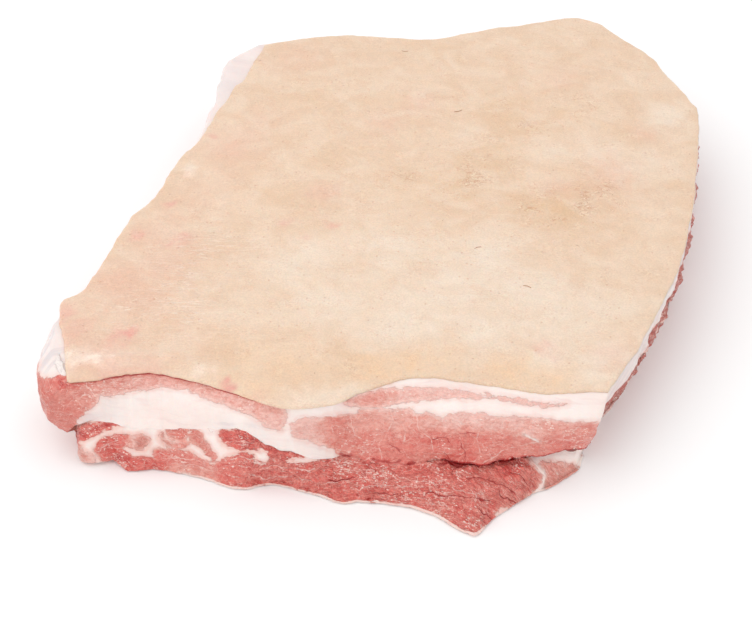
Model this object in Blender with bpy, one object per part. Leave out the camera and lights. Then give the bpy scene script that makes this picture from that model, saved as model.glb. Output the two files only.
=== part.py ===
"""Raw pork belly slab with its rind on, lying skin side up on its rib side.

The slab is one solid piece of meat. Its rim is a stack of closed outlines: the skin's cut edge,
the fat under it, the lean, the cleft above the thin rib-side flap, the flap, and the floor. Each
outline runs round the same four sides and is the skin's outline moved out or in by a spread that
changes along the side. The skin side is a low crown over the top outline, and the rib side is one
flat face that rests on the table.
"""

import bmesh
import bpy
import numpy as np

# Driving dimensions. Plan points and spreads are in centimetres from the middle of the slab's
# bounding box, +X to the right along the front cut and +Y to the back.
CM = 0.01
THICKNESS = 5.2       # floor to skin along the rim
RIND = 0.3            # depth of the skin's cut edge
CROWN = 0.25          # rise of the skin from the rim to the middle
CLEFT_TOP = 1.95      # where the lean ends above the cleft
CLEFT_FLOOR = 1.5     # where the rib-side flap starts below it

# The skin's cut edge, side by side, anticlockwise seen from above.
FRONT = [(-17.8, -14.4), (-14.9, -14.4), (-12.5, -14.3), (-9.9, -15.4), (-7.6, -16.1), (-5.7, -16.5),
         (-3.1, -15.7), (-0.8, -14.8), (1.8, -14.5), (5.3, -14.9), (8.4, -15.4), (10.7, -15.5)]
RIGHT = [(10.7, -15.5), (12.8, -12.0), (14.4, -9.3), (15.9, -5.5), (17.6, 0.7), (18.8, 6.9), (19.0, 9.2),
         (18.7, 10.7), (17.2, 15.1), (15.1, 18.2)]
BACK = [(15.1, 18.2), (14.0, 19.3), (12.7, 19.75), (9.3, 19.2), (5.1, 17.6), (2.6, 17.1), (-0.8, 17.4),
        (-4.8, 17.1), (-8.6, 16.3)]
LEFT = [(-8.6, 16.3), (-8.9, 14.3), (-9.8, 12.0), (-12.0, 5.5), (-13.7, 0.1), (-14.9, -2.2), (-16.0, -4.9),
        (-16.8, -7.3), (-18.1, -8.7), (-18.2, -11.6), (-17.8, -14.4)]

# How many outline points each side has.
SIDE_COUNTS = {"front": 66, "right": 34, "back": 26, "left": 40}

# The outlines below the skin. Each side lists (how far along the side, 0 to 1, spread), with the
# spread measured outwards from the skin's edge. The sides go round as above, so the left side
# starts at the back corner and ends at the front one.
OUTLINES = [
    # Under the rind the cut fat steps back a little, but stands out past the skin at the back left
    # corner and next to the front left one.
    {"height": THICKNESS - RIND - 0.05,
     "front": [(0.0, 0.1), (0.1, -0.15), (0.5, -0.1), (0.6, 0.1), (0.95, 0.1), (1.0, 0.0)],
     "right": [(0.0, 0.0), (0.2, 0.1), (1.0, -0.1)],
     "back": [(0.0, -0.1), (0.9, 0.2), (1.0, 0.7)],
     "left": [(0.0, 0.7), (0.06, 1.2), (0.17, 1.0), (0.22, 0.3), (0.8, 0.1), (0.88, 0.4), (1.0, 0.1)]},
    {"height": 4.4,
     "front": [(0.0, 0.3), (0.25, 0.3), (0.45, 0.2), (0.55, 0.7), (0.64, 1.4), (0.9, 1.4), (1.0, 0.6)],
     "right": [(0.0, 0.2), (0.5, 0.2), (0.65, 0.0), (1.0, 0.0)],
     "back": [(0.0, 0.0), (0.9, 0.4), (1.0, 1.2)],
     "left": [(0.0, 1.2), (0.06, 1.7), (0.17, 1.4), (0.24, 0.5), (0.8, 0.4), (0.88, 0.9), (1.0, 0.4)]},
    {"height": 3.2,
     "front": [(0.0, 0.5), (0.2, 0.8), (0.35, 0.4), (0.45, 0.4), (0.55, 1.1), (0.64, 2.1), (0.8, 2.0),
               (0.9, 1.6), (1.0, 0.7)],
     "right": [(0.0, 0.2), (0.3, 0.4), (0.55, 0.3), (0.65, 0.1), (1.0, 0.2)],
     "back": [(0.0, 0.2), (1.0, 0.6)],
     "left": [(0.0, 0.6), (0.1, 0.9), (0.24, 0.6), (0.8, 0.5), (0.87, 0.7), (0.95, 1.1), (1.0, 0.7)]},
    {"height": CLEFT_TOP,
     "front": [(0.0, 0.5), (0.1, 1.0), (0.2, 1.4), (0.32, 0.5), (0.45, 0.5), (0.55, 1.8), (0.63, 2.6),
               (0.68, 2.8), (0.78, 2.5), (0.88, 1.7), (1.0, 0.9)],
     "right": [(0.0, 0.2), (0.15, 0.2), (0.4, 0.4), (0.6, 0.3), (0.7, 0.1), (1.0, 0.2)],
     "back": [(0.0, 0.2), (1.0, 0.6)],
     "left": [(0.0, 0.6), (0.3, 0.5), (0.8, 0.3), (0.87, 0.6), (0.95, 1.2), (1.0, 0.7)]},
    # The cleft between the lean and the flap is deepest right of the middle of the front.
    {"height": 0.5 * (CLEFT_TOP + CLEFT_FLOOR),
     "front": [(0.0, 0.3), (0.1, 1.0), (0.2, 1.5), (0.32, 0.6), (0.5, 0.9), (0.58, 1.2), (0.7, 1.3),
               (0.83, 0.9), (0.93, 0.9), (1.0, 0.6)],
     "right": [(0.0, 0.1), (0.15, 0.1), (0.4, 0.2), (0.6, 0.1), (1.0, 0.1)],
     "back": [(0.0, 0.1), (1.0, 0.5)],
     "left": [(0.0, 0.5), (0.3, 0.4), (0.8, 0.1), (0.87, 0.4), (0.95, 0.9), (1.0, 0.4)]},
    {"height": CLEFT_FLOOR,
     "front": [(0.0, 0.2), (0.1, 1.1), (0.2, 1.6), (0.32, 0.7), (0.5, 1.0), (0.55, 1.9), (0.63, 2.7),
               (0.7, 3.0), (0.78, 2.9), (0.85, 2.2), (0.93, 1.4), (1.0, 0.4)],
     "right": [(0.0, -0.1), (0.4, 0.0), (1.0, 0.0)],
     "back": [(0.0, 0.0), (1.0, 0.4)],
     "left": [(0.0, 0.4), (0.3, 0.2), (0.8, -0.1), (0.87, 0.1), (0.95, 0.4), (1.0, 0.1)]},
    # The flap slopes out to its lip, which ends in a blunt tip.
    {"height": 0.85,
     "front": [(0.0, 0.1), (0.1, 1.3), (0.2, 1.8), (0.32, 1.1), (0.43, 1.1), (0.5, 1.6), (0.6, 3.1),
               (0.66, 3.8), (0.72, 4.3), (0.77, 4.7), (0.8, 4.3), (0.87, 2.7), (0.93, 1.6), (1.0, 0.3)],
     "right": [(0.0, -0.3), (1.0, -0.2)],
     "back": [(0.0, -0.1), (1.0, 0.3)],
     "left": [(0.0, 0.3), (0.3, 0.0), (0.8, -0.3), (0.92, 0.0), (1.0, 0.0)]},
    {"height": 0.2,
     "front": [(0.0, 0.0), (0.1, 1.4), (0.2, 1.9), (0.32, 1.3), (0.43, 1.2), (0.5, 1.9), (0.6, 3.5),
               (0.66, 4.1), (0.72, 4.8), (0.77, 5.4), (0.8, 4.8), (0.87, 2.8), (0.93, 1.6), (1.0, 0.1)],
     "right": [(0.0, -0.6), (1.0, -0.4)],
     "back": [(0.0, -0.3), (1.0, 0.2)],
     "left": [(0.0, 0.2), (0.3, -0.2), (0.8, -0.6), (0.92, -0.6), (1.0, -0.3)]},
    {"height": 0.0,
     "front": [(0.0, -0.2), (0.1, 1.3), (0.2, 1.8), (0.32, 1.2), (0.43, 1.1), (0.5, 1.8), (0.6, 3.4),
               (0.66, 4.0), (0.72, 4.7), (0.77, 5.3), (0.8, 4.7), (0.87, 2.7), (0.93, 1.4), (1.0, -0.1)],
     "right": [(0.0, -0.9), (1.0, -0.7)],
     "back": [(0.0, -0.5), (1.0, 0.0)],
     "left": [(0.0, 0.0), (0.3, -0.4), (0.8, -0.8), (0.92, -0.8), (1.0, -0.5)]},
]


def clear_scene():
    for item in list(bpy.data.objects):
        bpy.data.objects.remove(item, do_unlink=True)


def smooth_curve(points, count):
    """Evenly spaced points on the Catmull-Rom curve through the given ones."""
    knots = np.array(points, float)
    knots = np.vstack([2 * knots[0] - knots[1], knots, 2 * knots[-1] - knots[-2]])
    step = np.linspace(0.0, 1.0, 12, endpoint=False)[:, None]
    pieces = []
    for a, b, c, d in zip(knots, knots[1:], knots[2:], knots[3:]):
        pieces.append(b + 0.5 * step * (c - a + step * (2 * a - 5 * b + 4 * c - d
                                                       + step * (3 * (b - c) + d - a))))
    fine = np.vstack(pieces + [knots[-2][None]])
    run = np.concatenate([[0.0], np.cumsum(np.linalg.norm(np.diff(fine, axis=0), axis=1))])
    wanted = np.linspace(0.0, run[-1], count)
    return np.column_stack([np.interp(wanted, run, fine[:, axis]) for axis in (0, 1)])


def skin_outline():
    """The skin's outline, with each point's side name and its share of the way along that side."""
    points, places = [], []
    for name, side in zip(SIDE_COUNTS, (FRONT, RIGHT, BACK, LEFT)):
        count = SIDE_COUNTS[name]
        points.append(smooth_curve(side, count + 1)[:-1])
        places += [(name, index / count) for index in range(count)]
    return np.vstack(points), places


def outward_directions(outline, places):
    """Unit directions away from the slab: straight ahead on the front, square to the edge elsewhere."""
    along = np.roll(outline, -2, axis=0) - np.roll(outline, 2, axis=0)
    square = np.column_stack([along[:, 1], -along[:, 0]])
    square /= np.linalg.norm(square, axis=1)[:, None]
    for index, (name, share) in enumerate(places):
        if name == "front":
            blend = min(1.0, 10 * min(share, 1.0 - share))
            square[index] = blend * np.array((0.0, -1.0)) + (1.0 - blend) * square[index]
    return square / np.linalg.norm(square, axis=1)[:, None]


def wall_rings(outline, places):
    """Closed rings from the skin's rounded edge down to the floor, as (points, height) pairs."""
    away = outward_directions(outline, places)
    rings = [(outline - 0.22 * away, THICKNESS), (outline - 0.06 * away, THICKNESS - 0.06),
             (outline, THICKNESS - 0.5 * RIND)]
    for level in OUTLINES:
        spread = []
        for name, share in places:
            knots = np.array(level[name])
            spread.append(np.interp(share, knots[:, 0], knots[:, 1]))
        spread = np.array(spread)
        spread = 0.25 * np.roll(spread, 1) + 0.5 * spread + 0.25 * np.roll(spread, -1)
        rings.append((outline + spread[:, None] * away, level["height"]))
    return rings


def centre_on_origin(rings):
    """The same rings, moved in plan so that the slab's bounding box is centred on the origin."""
    plan = np.vstack([ring for ring, height in rings])
    middle = 0.5 * (plan.min(axis=0) + plan.max(axis=0))
    return [(ring - middle, height) for ring, height in rings]


def crown_height(points, share_in):
    """Height of the skin: a low crown with long, shallow waves; share_in is 0 at the rim, 1 inside."""
    wave = 0.07 * np.sin(0.21 * points[:, 0] + 0.9) * np.cos(0.17 * points[:, 1])
    return THICKNESS + (CROWN + wave) * (1.0 - (1.0 - share_in) ** 2)


def build_slab():
    outline, places = skin_outline()
    rings = centre_on_origin(wall_rings(outline, places))
    mesh = bmesh.new()
    loops = []

    # The skin side: rings that shrink towards the middle and close in one point.
    rim = rings[0][0]
    middle = rim.mean(axis=0)
    peak = crown_height(middle[None], 1.0)[0]
    centre = mesh.verts.new((middle[0] * CM, middle[1] * CM, peak * CM))
    for share_in in (0.86, 0.7, 0.52, 0.35, 0.2, 0.08):
        ring = middle + (rim - middle) * (1.0 - share_in)
        heights = crown_height(ring, share_in)
        loops.append([mesh.verts.new((x * CM, y * CM, z * CM)) for (x, y), z in zip(ring, heights)])

    for ring, height in rings:
        loops.append([mesh.verts.new((x * CM, y * CM, height * CM)) for x, y in ring])

    count = len(outline)
    for index in range(count):
        after = (index + 1) % count
        mesh.faces.new((centre, loops[0][index], loops[0][after]))
        for upper, lower in zip(loops, loops[1:]):
            mesh.faces.new((upper[index], lower[index], lower[after], upper[after]))

    # The rib side: one flat face on the floor.
    mesh.faces.new(list(reversed(loops[-1])))

    data = bpy.data.meshes.new("pork_belly")
    mesh.to_mesh(data)
    mesh.free()
    slab = bpy.data.objects.new("pork_belly", data)
    bpy.context.scene.collection.objects.link(slab)
    return slab


def paint(item, name, colour, roughness):
    material = bpy.data.materials.new(name)
    material.use_nodes = True
    shader = material.node_tree.nodes["Principled BSDF"]
    shader.inputs["Base Color"].default_value = (*colour, 1.0)
    shader.inputs["Roughness"].default_value = roughness
    shader.inputs["Metallic"].default_value = 0.0
    item.data.materials.append(material)


clear_scene()
pork_belly = build_slab()
pork_belly.data.shade_smooth()
pork_belly.data.set_sharp_from_angle(angle=0.9)
paint(pork_belly, "raw_pork", (0.84, 0.62, 0.50), 0.5)
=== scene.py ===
"""Looks of a raw pork belly slab with its rind on, lying skin side up on its rib side."""
import math

import bpy
import numpy as np
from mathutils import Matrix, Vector, noise
from mathutils.bvhtree import BVHTree


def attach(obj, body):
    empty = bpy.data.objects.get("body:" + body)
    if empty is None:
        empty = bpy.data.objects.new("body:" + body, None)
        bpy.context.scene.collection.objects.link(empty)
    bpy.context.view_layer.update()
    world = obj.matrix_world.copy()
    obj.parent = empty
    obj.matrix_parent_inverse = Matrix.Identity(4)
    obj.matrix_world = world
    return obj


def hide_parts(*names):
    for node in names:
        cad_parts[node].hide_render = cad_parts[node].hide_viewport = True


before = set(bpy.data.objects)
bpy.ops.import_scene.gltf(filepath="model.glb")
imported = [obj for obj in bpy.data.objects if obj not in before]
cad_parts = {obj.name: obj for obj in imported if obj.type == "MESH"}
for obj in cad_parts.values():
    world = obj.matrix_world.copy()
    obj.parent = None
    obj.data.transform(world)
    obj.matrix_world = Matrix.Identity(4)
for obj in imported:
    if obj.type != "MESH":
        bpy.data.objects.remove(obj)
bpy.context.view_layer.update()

# ----------------------------------------------------------------------------------------------
# Rind. The pig's scalded skin, a tough sheet about two millimetres thick, grown onto the fat
# below it. It was cut along all four sides with a knife, and hangs a little over the front left.
# ----------------------------------------------------------------------------------------------
CM = 0.01                   # every length below is in centimetres unless its name says otherwise
SKIN_TOP = 5.2              # height of the skin along the rim, above the table
CROWN = 0.22                # rise of the skin from the rim to the middle
RIND_THICKNESS = 0.2
MIDDLE = np.array((1.2, 1.5))
SKIN_EDGE = {
    "front": [(-17, -14.6), (-16.6, -14.75), (-15.5, -14.7), (-14.8, -14.45), (-14, -14.25),
        (-13.2, -14.15), (-12.4, -14.2), (-11.1, -14.6), (-10.1, -14.95), (-9, -15.4), (-7.9, -15.8),
        (-6.9, -16.25), (-5.9, -16.5), (-4.9, -16.5), (-3.9, -16.4), (-2.85, -16.1), (-1.85, -15.45),
        (-0.8, -14.9), (0.2, -14.5), (1.1, -14.35), (1.9, -14.3), (2.8, -14.45), (3.8, -14.65),
        (4.85, -14.9), (5.9, -15.15), (6.9, -15.35), (7.7, -15.45), (8.4, -15.45), (9.4, -15.35),
        (10.2, -15.3), (10.9, -15.4)],
    "right": [(10.9, -15.4), (12, -13.5), (12.9, -12), (14.4, -8.9), (15.9, -5.6), (16.9, -2.3),
        (17.6, 0.3), (18.05, 2.6), (18.45, 4.8), (18.9, 7.3), (19.05, 9.2), (18.75, 10), (18.4, 11.2),
        (17.5, 13.3), (17.05, 14.8), (16.1, 16.1), (15.4, 17.1), (14.5, 18.25)],
    "back": [(14.5, 18.25), (13.9, 19), (13.2, 19.45), (12.4, 19.7), (11.6, 19.65), (10.3, 19.3),
        (8.6, 18.8), (7.4, 18.6), (6.2, 18.2), (4.9, 17.75), (3.6, 17.3), (2.2, 17.05), (0.6, 17.2),
        (-1.2, 17.45), (-3, 17.6), (-4.75, 17.4), (-6.5, 17), (-8.4, 16.45)],
    "left": [(-8.4, 16.45), (-8.65, 15.5), (-9.05, 14.2), (-9.35, 13.05), (-9.55, 12.3), (-9.98, 11.8),
        (-10.2, 11), (-10.4, 10.3), (-10.85, 9.3), (-11.5, 7), (-12, 5.65), (-12.75, 4.3), (-13.25, 3),
        (-13.65, 1.5), (-14.05, 0.4), (-14.55, -0.5), (-15.05, -1.1), (-15.3, -1.9), (-15.7, -3),
        (-15.95, -4.1), (-16.25, -5.3), (-16.7, -6.5), (-17, -7.5), (-17.55, -8.1), (-18, -8.4),
        (-18.2, -8.85), (-18.05, -10.1), (-17.75, -10.9), (-17.5, -11.9), (-17.3, -13.05), (-17, -14.6)]}
SIDES = ("front", "right", "back", "left")
CORNER_REACH = 1.3          # how far from a corner both of its sides still pull on the outline


def easy_slopes(places, values):
    """Slopes for smooth curves through values that never swing past them."""
    gaps = np.diff(places).reshape(-1, *[1] * (values.ndim - 1))
    rises = np.diff(values, axis=0) / gaps
    both = rises[:-1] * rises[1:]
    total = np.where(both > 0, rises[:-1] + rises[1:], 1.0)
    inner = np.where(both > 0, 2.0 * both / total, 0.0)
    return np.concatenate([rises[:1], inner, rises[-1:]])


def curve_through(places, values, where):
    """Values at each place in where, on smooth curves through the given values at their places."""
    slopes = easy_slopes(places, values)
    index = np.clip(np.searchsorted(places, where, side="right") - 1, 0, len(places) - 2)
    shape = (-1,) + (1,) * (values.ndim - 1)
    gap = (places[index + 1] - places[index]).reshape(shape)
    s = np.clip((where - places[index]).reshape(shape) / gap, 0.0, 1.0)
    return ((2 * s**3 - 3 * s**2 + 1) * values[index] + (s**3 - 2 * s**2 + s) * gap * slopes[index]
            + (3 * s**2 - 2 * s**3) * values[index + 1] + (s**3 - s**2) * gap * slopes[index + 1])


def smooth_path(points, count, crowding=1.0):
    """Points on the Catmull-Rom curve through the given ones, closer to its end if crowding > 1."""
    knots = np.array(points, float)
    knots = np.vstack([2 * knots[0] - knots[1], knots, 2 * knots[-1] - knots[-2]])
    step = np.linspace(0.0, 1.0, 12, endpoint=False)[:, None]
    pieces = []
    for a, b, c, d in zip(knots, knots[1:], knots[2:], knots[3:]):
        pieces.append(b + 0.5 * step * (c - a + step * (2 * a - 5 * b + 4 * c - d
                                                       + step * (3 * (b - c) + d - a))))
    fine = np.vstack(pieces + [knots[-2][None]])
    run = np.concatenate([[0.0], np.cumsum(np.linalg.norm(np.diff(fine, axis=0), axis=1))])
    wanted = run[-1] * (1.0 - (1.0 - np.linspace(0.0, 1.0, count)) ** crowding)
    return np.column_stack([np.interp(wanted, run, fine[:, axis]) for axis in (0, 1)])


def ramp(value, low, high):
    """0 below low, 1 above high, and a smooth S between."""
    s = np.clip((value - low) / (high - low), 0.0, 1.0)
    return s * s * (3.0 - 2.0 * s)


def lumps(points, size, octaves=1, shift=0.0):
    """Smooth random lumps, about -1 to 1, with a lump every `size` at each point."""
    places = points / size + shift
    return np.array([noise.fractal(place, 0.9, 2.1, octaves) for place in places.tolist()]) * 1.6


def unit(vectors):
    return vectors / np.maximum(np.linalg.norm(vectors, axis=-1, keepdims=True), 1e-9)


def soften(values, times):
    """Values round the rim, averaged with their neighbours."""
    for _ in range(times):
        values = 0.25 * np.roll(values, 1, axis=0) + 0.5 * values + 0.25 * np.roll(values, -1, axis=0)
    return values


def outward(path):
    """Unit directions square to a path and away from the slab, averaged over about a centimetre."""
    run = np.concatenate([[0.0], np.cumsum(np.linalg.norm(np.diff(path, axis=0), axis=1))])
    ahead, behind = np.clip(run + 0.6, 0.0, run[-1]), np.clip(run - 0.6, 0.0, run[-1])
    along = np.column_stack([np.interp(ahead, run, path[:, axis]) - np.interp(behind, run, path[:, axis])
                             for axis in (0, 1)])
    return unit(np.column_stack([along[:, 1], -along[:, 0]]))


class Rim:
    """Points round the skin's cut edge, side by side, and what the layers below need to know of them."""

    def __init__(self, counts, crowding):
        parts = {"at": [], "away": [], "side": [], "from_start": [], "from_end": []}
        for number, name in enumerate(SIDES):
            path = smooth_path(SKIN_EDGE[name], counts[number] + 1, crowding[number])
            away = outward(path)
            if name == "front":
                away[:] = (0.0, -1.0)
            run = np.concatenate([[0.0], np.cumsum(np.linalg.norm(np.diff(path, axis=0), axis=1))])
            for key, value in (("at", path), ("away", away), ("side", np.full(len(path), number)),
                               ("from_start", run), ("from_end", run[-1] - run)):
                parts[key].append(value[:-1])
        for key, value in parts.items():
            setattr(self, key, np.concatenate(value))
        self.round_away = unit(soften(self.away, 12))

    def side_values(self, name, knots, points):
        """A side's values at points: one number, or a list read along X on front and back, else along Y."""
        if not isinstance(knots, list):
            return np.full(len(points), knots)
        axis = 0 if name in ("front", "back") else 1
        places, values = np.array(sorted(knots), float).T
        return curve_through(places, values, points[:, axis])

    def values(self, table, times=4):
        """One value a rim point, from each side's own (place, value) list."""
        found = np.zeros(len(self.at))
        for number, name in enumerate(SIDES):
            own = self.side == number
            found[own] = self.side_values(name, table[name], self.at[own])
        return soften(found, times)

    def spread(self, table, times=5):
        """How far rim points move out, as vectors; near a corner both of its sides add up."""
        move = np.zeros_like(self.at)
        for number, name in enumerate(SIDES):
            own = self.side == number
            move[own] += self.side_values(name, table[name], self.at[own])[:, None] * self.away[own]
            first, last = np.flatnonzero(own)[[0, -1]]
            for end, other, near in ((first, (number - 1) % 4, self.from_end),
                                     (last, (number + 1) % 4, self.from_start)):
                there = self.side == other
                beyond = (end - 1 if end == first else end + 1) % len(own)
                square = 1.0 - abs(float(self.away[end] @ self.away[beyond]))
                amount = self.side_values(name, table[name], self.at[[end]])[0] * square
                fade = ramp(near[there], CORNER_REACH, 0.0)
                move[there] += (amount * fade)[:, None] * self.away[end]
        return soften(move, times)


def ring_faces(levels, count):
    """Quads between stacked rings of points, top to bottom, facing out."""
    ring = np.arange(count)
    after = (ring + 1) % count
    upper = (np.arange(levels - 1) * count)[:, None]
    quads = np.stack([upper + ring, upper + count + ring, upper + count + after, upper + after], 2)
    return quads.reshape(-1, 4).tolist()


def make_piece(name, points, faces):
    mesh = bpy.data.meshes.new(name)
    mesh.from_pydata((np.array(points) * CM).tolist(), [], faces)
    mesh.shade_smooth()
    piece = bpy.data.objects.new(name, mesh)
    bpy.context.scene.collection.objects.link(piece)
    return piece


def domed_piece(name, rows, top, bottom):
    """A closed piece from stacked rings, each end closed on its own centre point."""
    levels, count = rows.shape[:2]
    first, last = levels * count, (levels - 1) * count
    ring = range(count)
    fans = [(first, a, (a + 1) % count) for a in ring]
    fans += [(first + 1, last + (a + 1) % count, last + a) for a in ring]
    return make_piece(name, np.vstack([rows.reshape(-1, 3), [top, bottom]]), ring_faces(levels, count) + fans)


def keep_values(piece, **values):
    """Stores numbers on the mesh's points, each kind under its name, for the material to read."""
    for name, numbers in values.items():
        data = np.zeros(len(piece.data.vertices), np.float32)
        data[:len(numbers)] = numbers
        piece.data.attributes.new(name, "FLOAT", "POINT").data.foreach_set("value", data)


def rgb(red, green, blue):
    """A colour as it looks in the bright studio, 0 to 255, as the linear numbers that shaders use."""
    shares = [part / 255.0 for part in (red, green, blue)]
    linear = [s / 12.92 if s <= 0.04045 else ((s + 0.055) / 1.055) ** 2.4 for s in shares]
    return tuple(0.92 * part for part in linear) + (1.0,)


def flat_to_3d(points, height=0.0):
    return np.column_stack([points, np.broadcast_to(height, len(points))])


def knife_wander(points):
    """How far the cut edge strays out or in as the knife went along."""
    flat = flat_to_3d(points)
    return (0.05 * lumps(flat, 1.3, 2) + 0.02 * lumps(flat, 0.35, 2, 7.0))[:, None]


skin = Rim((420, 210, 150, 210), (1.0, 1.0, 1.0, 1.0))
drawn_back = 0.22 * (skin.side == 0) * ramp(skin.at[:, 0], -17.2, -16.2) * ramp(skin.at[:, 0], -5.5, -7.5)
skin_rim = skin.at + (knife_wander(skin.at) - drawn_back[:, None]) * skin.round_away
FRONT_X, FRONT_Y = np.array(SKIN_EDGE["front"]).T


def skin_height(points, share):
    """Height of the skin; share is 0 in the middle and 1 on the rim."""
    flat = flat_to_3d(points)
    swell = 0.10 * lumps(flat, 9.0, 1, 2.0) + 0.03 * lumps(flat * (0.55, 1.0, 1.0), 2.6, 2, 5.0)
    fine = 0.008 * lumps(flat * (0.5, 1.0, 1.0), 0.6, 2, 9.0)
    from_front = points[:, 1] - np.interp(points[:, 0], FRONT_X, FRONT_Y)
    rolled = ramp(points[:, 0], -2.0, -7.0) * ramp(points[:, 0], -17.5, -15.5)
    roll = 0.17 * np.exp(-((from_front - 1.2) / 0.6) ** 2) - 0.09 * np.exp(-((from_front - 2.4) / 0.8) ** 2)
    return SKIN_TOP + CROWN * (1.0 - share**3) + swell * (1.0 - 0.6 * share**6) + fine + roll * rolled


rind_rows = []
skin_inset = soften(skin_rim - 0.22 * skin.round_away, 6)
skin_inset_round = soften(skin_inset, 60)
for share in (1.0 - 0.99 * (1.0 - np.linspace(0.0, 1.0, 84) ** 0.8))[:-2]:
    ring = MIDDLE + (skin_inset_round + (skin_inset - skin_inset_round) * share**6 - MIDDLE) * share
    rind_rows.append(flat_to_3d(ring, skin_height(ring, share)))
rim_height = skin_height(skin_rim, 1.0)
for out, drop in ((-0.22, 0.0), (-0.14, 0.01), (-0.08, 0.025), (-0.035, 0.05), (-0.01, 0.08), (0.0, 0.12),
                  (0.0, 0.16), (-0.015, 0.19), (-0.06, 0.2), (-0.2, 0.2), (-0.5, 0.2), (-1.2, 0.2)):
    ring = skin_rim + out * skin.round_away
    rind_rows.append(flat_to_3d(ring, rim_height - drop * RIND_THICKNESS / 0.2))
rind_rows = np.array(rind_rows)
rind = domed_piece("rind", rind_rows, (*MIDDLE, skin_height(MIDDLE[None], 0.0)[0]), (*MIDDLE, 5.0))

# Where the skin is pinker, browner, more golden or paler, where a painted highlight lies on it, and where its
# fine wrinkles are drawn as painted highlight and shade lines: (x, y, reach, amount).
BLUSHES = [(-14.1, -11.1, 0.5, 1.2), (-14.7, -11.4, 0.8, 0.6), (-14.9, -14.1, 0.9, 0.6),
    (-18, -9.5, 0.8, 0.9), (-17.4, -11.6, 1.4, 0.35), (-15.6, -12.3, 1.2, 0.3), (-12.8, -13.8, 1.4, 0.45),
    (-14, -14, 0.9, 0.3), (-7, -16, 0.9, 0.3), (-16.9, -10.6, 1.2, 0.3), (-12.9, -0.2, 0.45, 0.8),
    (-12, -3.3, 0.6, 0.8), (-14.6, -3, 0.6, 0.6), (-12.6, -3.9, 0.4, 0.5), (-11, 6.2, 0.5, 0.7),
    (-9.9, 5.6, 2.6, 0.22), (11.6, -13, 1.8, 0.25), (12.9, 3.4, 2, 0.12), (-13.5, -2.5, 2.5, 0.2),
    (-15.6, -6.5, 1.8, 0.22), (-13, -6, 2.5, 0.14), (-8.6, -15.15, 0.45, 1.2), (-6.1, -2.3, 0.5, 0.6),
    (-3.7, -2.3, 0.5, 0.6), (-5.2, -3.4, 0.4, 0.4), (-4, 0.6, 1.4, 0.3), (-14.9, -12.6, 2.4, 0.22),
    (-16.6, -13.6, 1.5, 0.25), (7.6, -12.2, 0.7, 0.45), (8.3, -12.9, 0.6, 0.35), (13, 1.5, 2.5, 0.2),
    (9.5, 1, 1.5, 0.2), (15.4, 6.4, 1.2, 0.25), (10.8, 12, 2, 0.15), (-0.5, 7.5, 1.5, 0.2),
    (1.8, 9.5, 1.6, 0.25), (-6, 14.5, 3, 0.15), (-15.5, -8.5, 3, 0.2), (-12.8, -9, 3, 0.16),
    (-12.5, -4.5, 3.5, 0.14), (-11, 0.5, 3, 0.14), (-9.5, 4, 3, 0.1), (-8, 8, 2.5, 0.12),
    (-10.8, -12, 2.5, 0.12)]
TANS = [(4, 1, 2.2, 0.9), (8, -0.6, 2, 1), (10, -1, 2.2, 0.9), (12.5, 0.5, 2.6, 0.8), (0.5, 1.8, 2.2, 0.6),
    (5.5, 3.5, 3, 0.6), (7.5, 6.5, 2.5, 0.5), (11.5, 9.5, 2.6, 0.6), (7, 9, 2.4, 0.6), (14.5, 6, 1.8, 0.6),
    (-3.5, 3.5, 2.5, 0.35), (-5.5, 12.5, 3, 0.3), (3, 15, 3, 0.3), (16.8, 1.6, 0.9, 0.6),
    (-9.6, -11.6, 1.8, 0.45), (-2.5, -13.4, 2.2, 0.4), (11, 16, 3, 0.25), (-6.2, 0.4, 1.5, 0.3)]
GOLDS = [(-1.2, -14, 1.6, 1), (0.6, -13.5, 1.3, 0.9), (2.4, -13.2, 1.4, 0.5), (6, -13.9, 1.6, 0.9),
    (8.2, -14.4, 1.3, 0.7), (-5.5, -13.9, 2.2, 0.5), (-8, -13.2, 2, 0.4), (-7.4, -15.6, 1.2, 0.6)]
# Pale patches; those on the ridge by the front left edge are painted highlight.
PALES_AND_HIGHLIGHTS = [(-5, -5.5, 3.2, 0.7), (0, -4.6, 3, 0.8), (5, -5.5, 3.2, 0.9), (1.5, -9.5, 3.5, 0.8),
    (7.5, -8.5, 3.4, 0.8), (11.3, -9, 2.4, 0.5), (17, 8.2, 1.8, 0.9), (15.3, 3.4, 2.4, 0.5),
    (16.2, 0.6, 1.5, 0.3), (8, -13, 1.6, 0.8), (5, -12, 2, 0.6), (-3.5, -9, 3, 0.7), (-0.5, -11.5, 2, 0.5),
    (9.5, 4.5, 1.5, 0.5), (4.5, 6.5, 1.4, 0.35), (-15.3, -12.7, 1, 0.8), (-13.9, -12.9, 1, 0.6),
    (-12.1, 3, 0.5, 0.9), (-10.2, -13.9, 0.5, 0.7), (-9.3, -13.8, 0.4, 0.6), (-16.4, -12.6, 0.8, 0.9),
    (-9, -8.5, 3, 0.3), (10.3, -13.4, 1.3, 0.5), (1, -13.9, 0.6, 0.3), (4.6, -10, 2.6, 0.45),
    (8.8, -11, 2.6, 0.5), (11.5, -12.5, 1.8, 0.7), (10.4, -14.4, 1.2, 0.6), (12.6, 4.9, 2.2, 0.45),
    (13.4, 2, 2, 0.5), (2.8, -7.8, 2.4, 0.35), (14.2, -9, 1.6, 0.4), (-4.2, -16.1, 1.6, 0.9),
    (-2.2, -15.5, 1.3, 0.7)]
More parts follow.
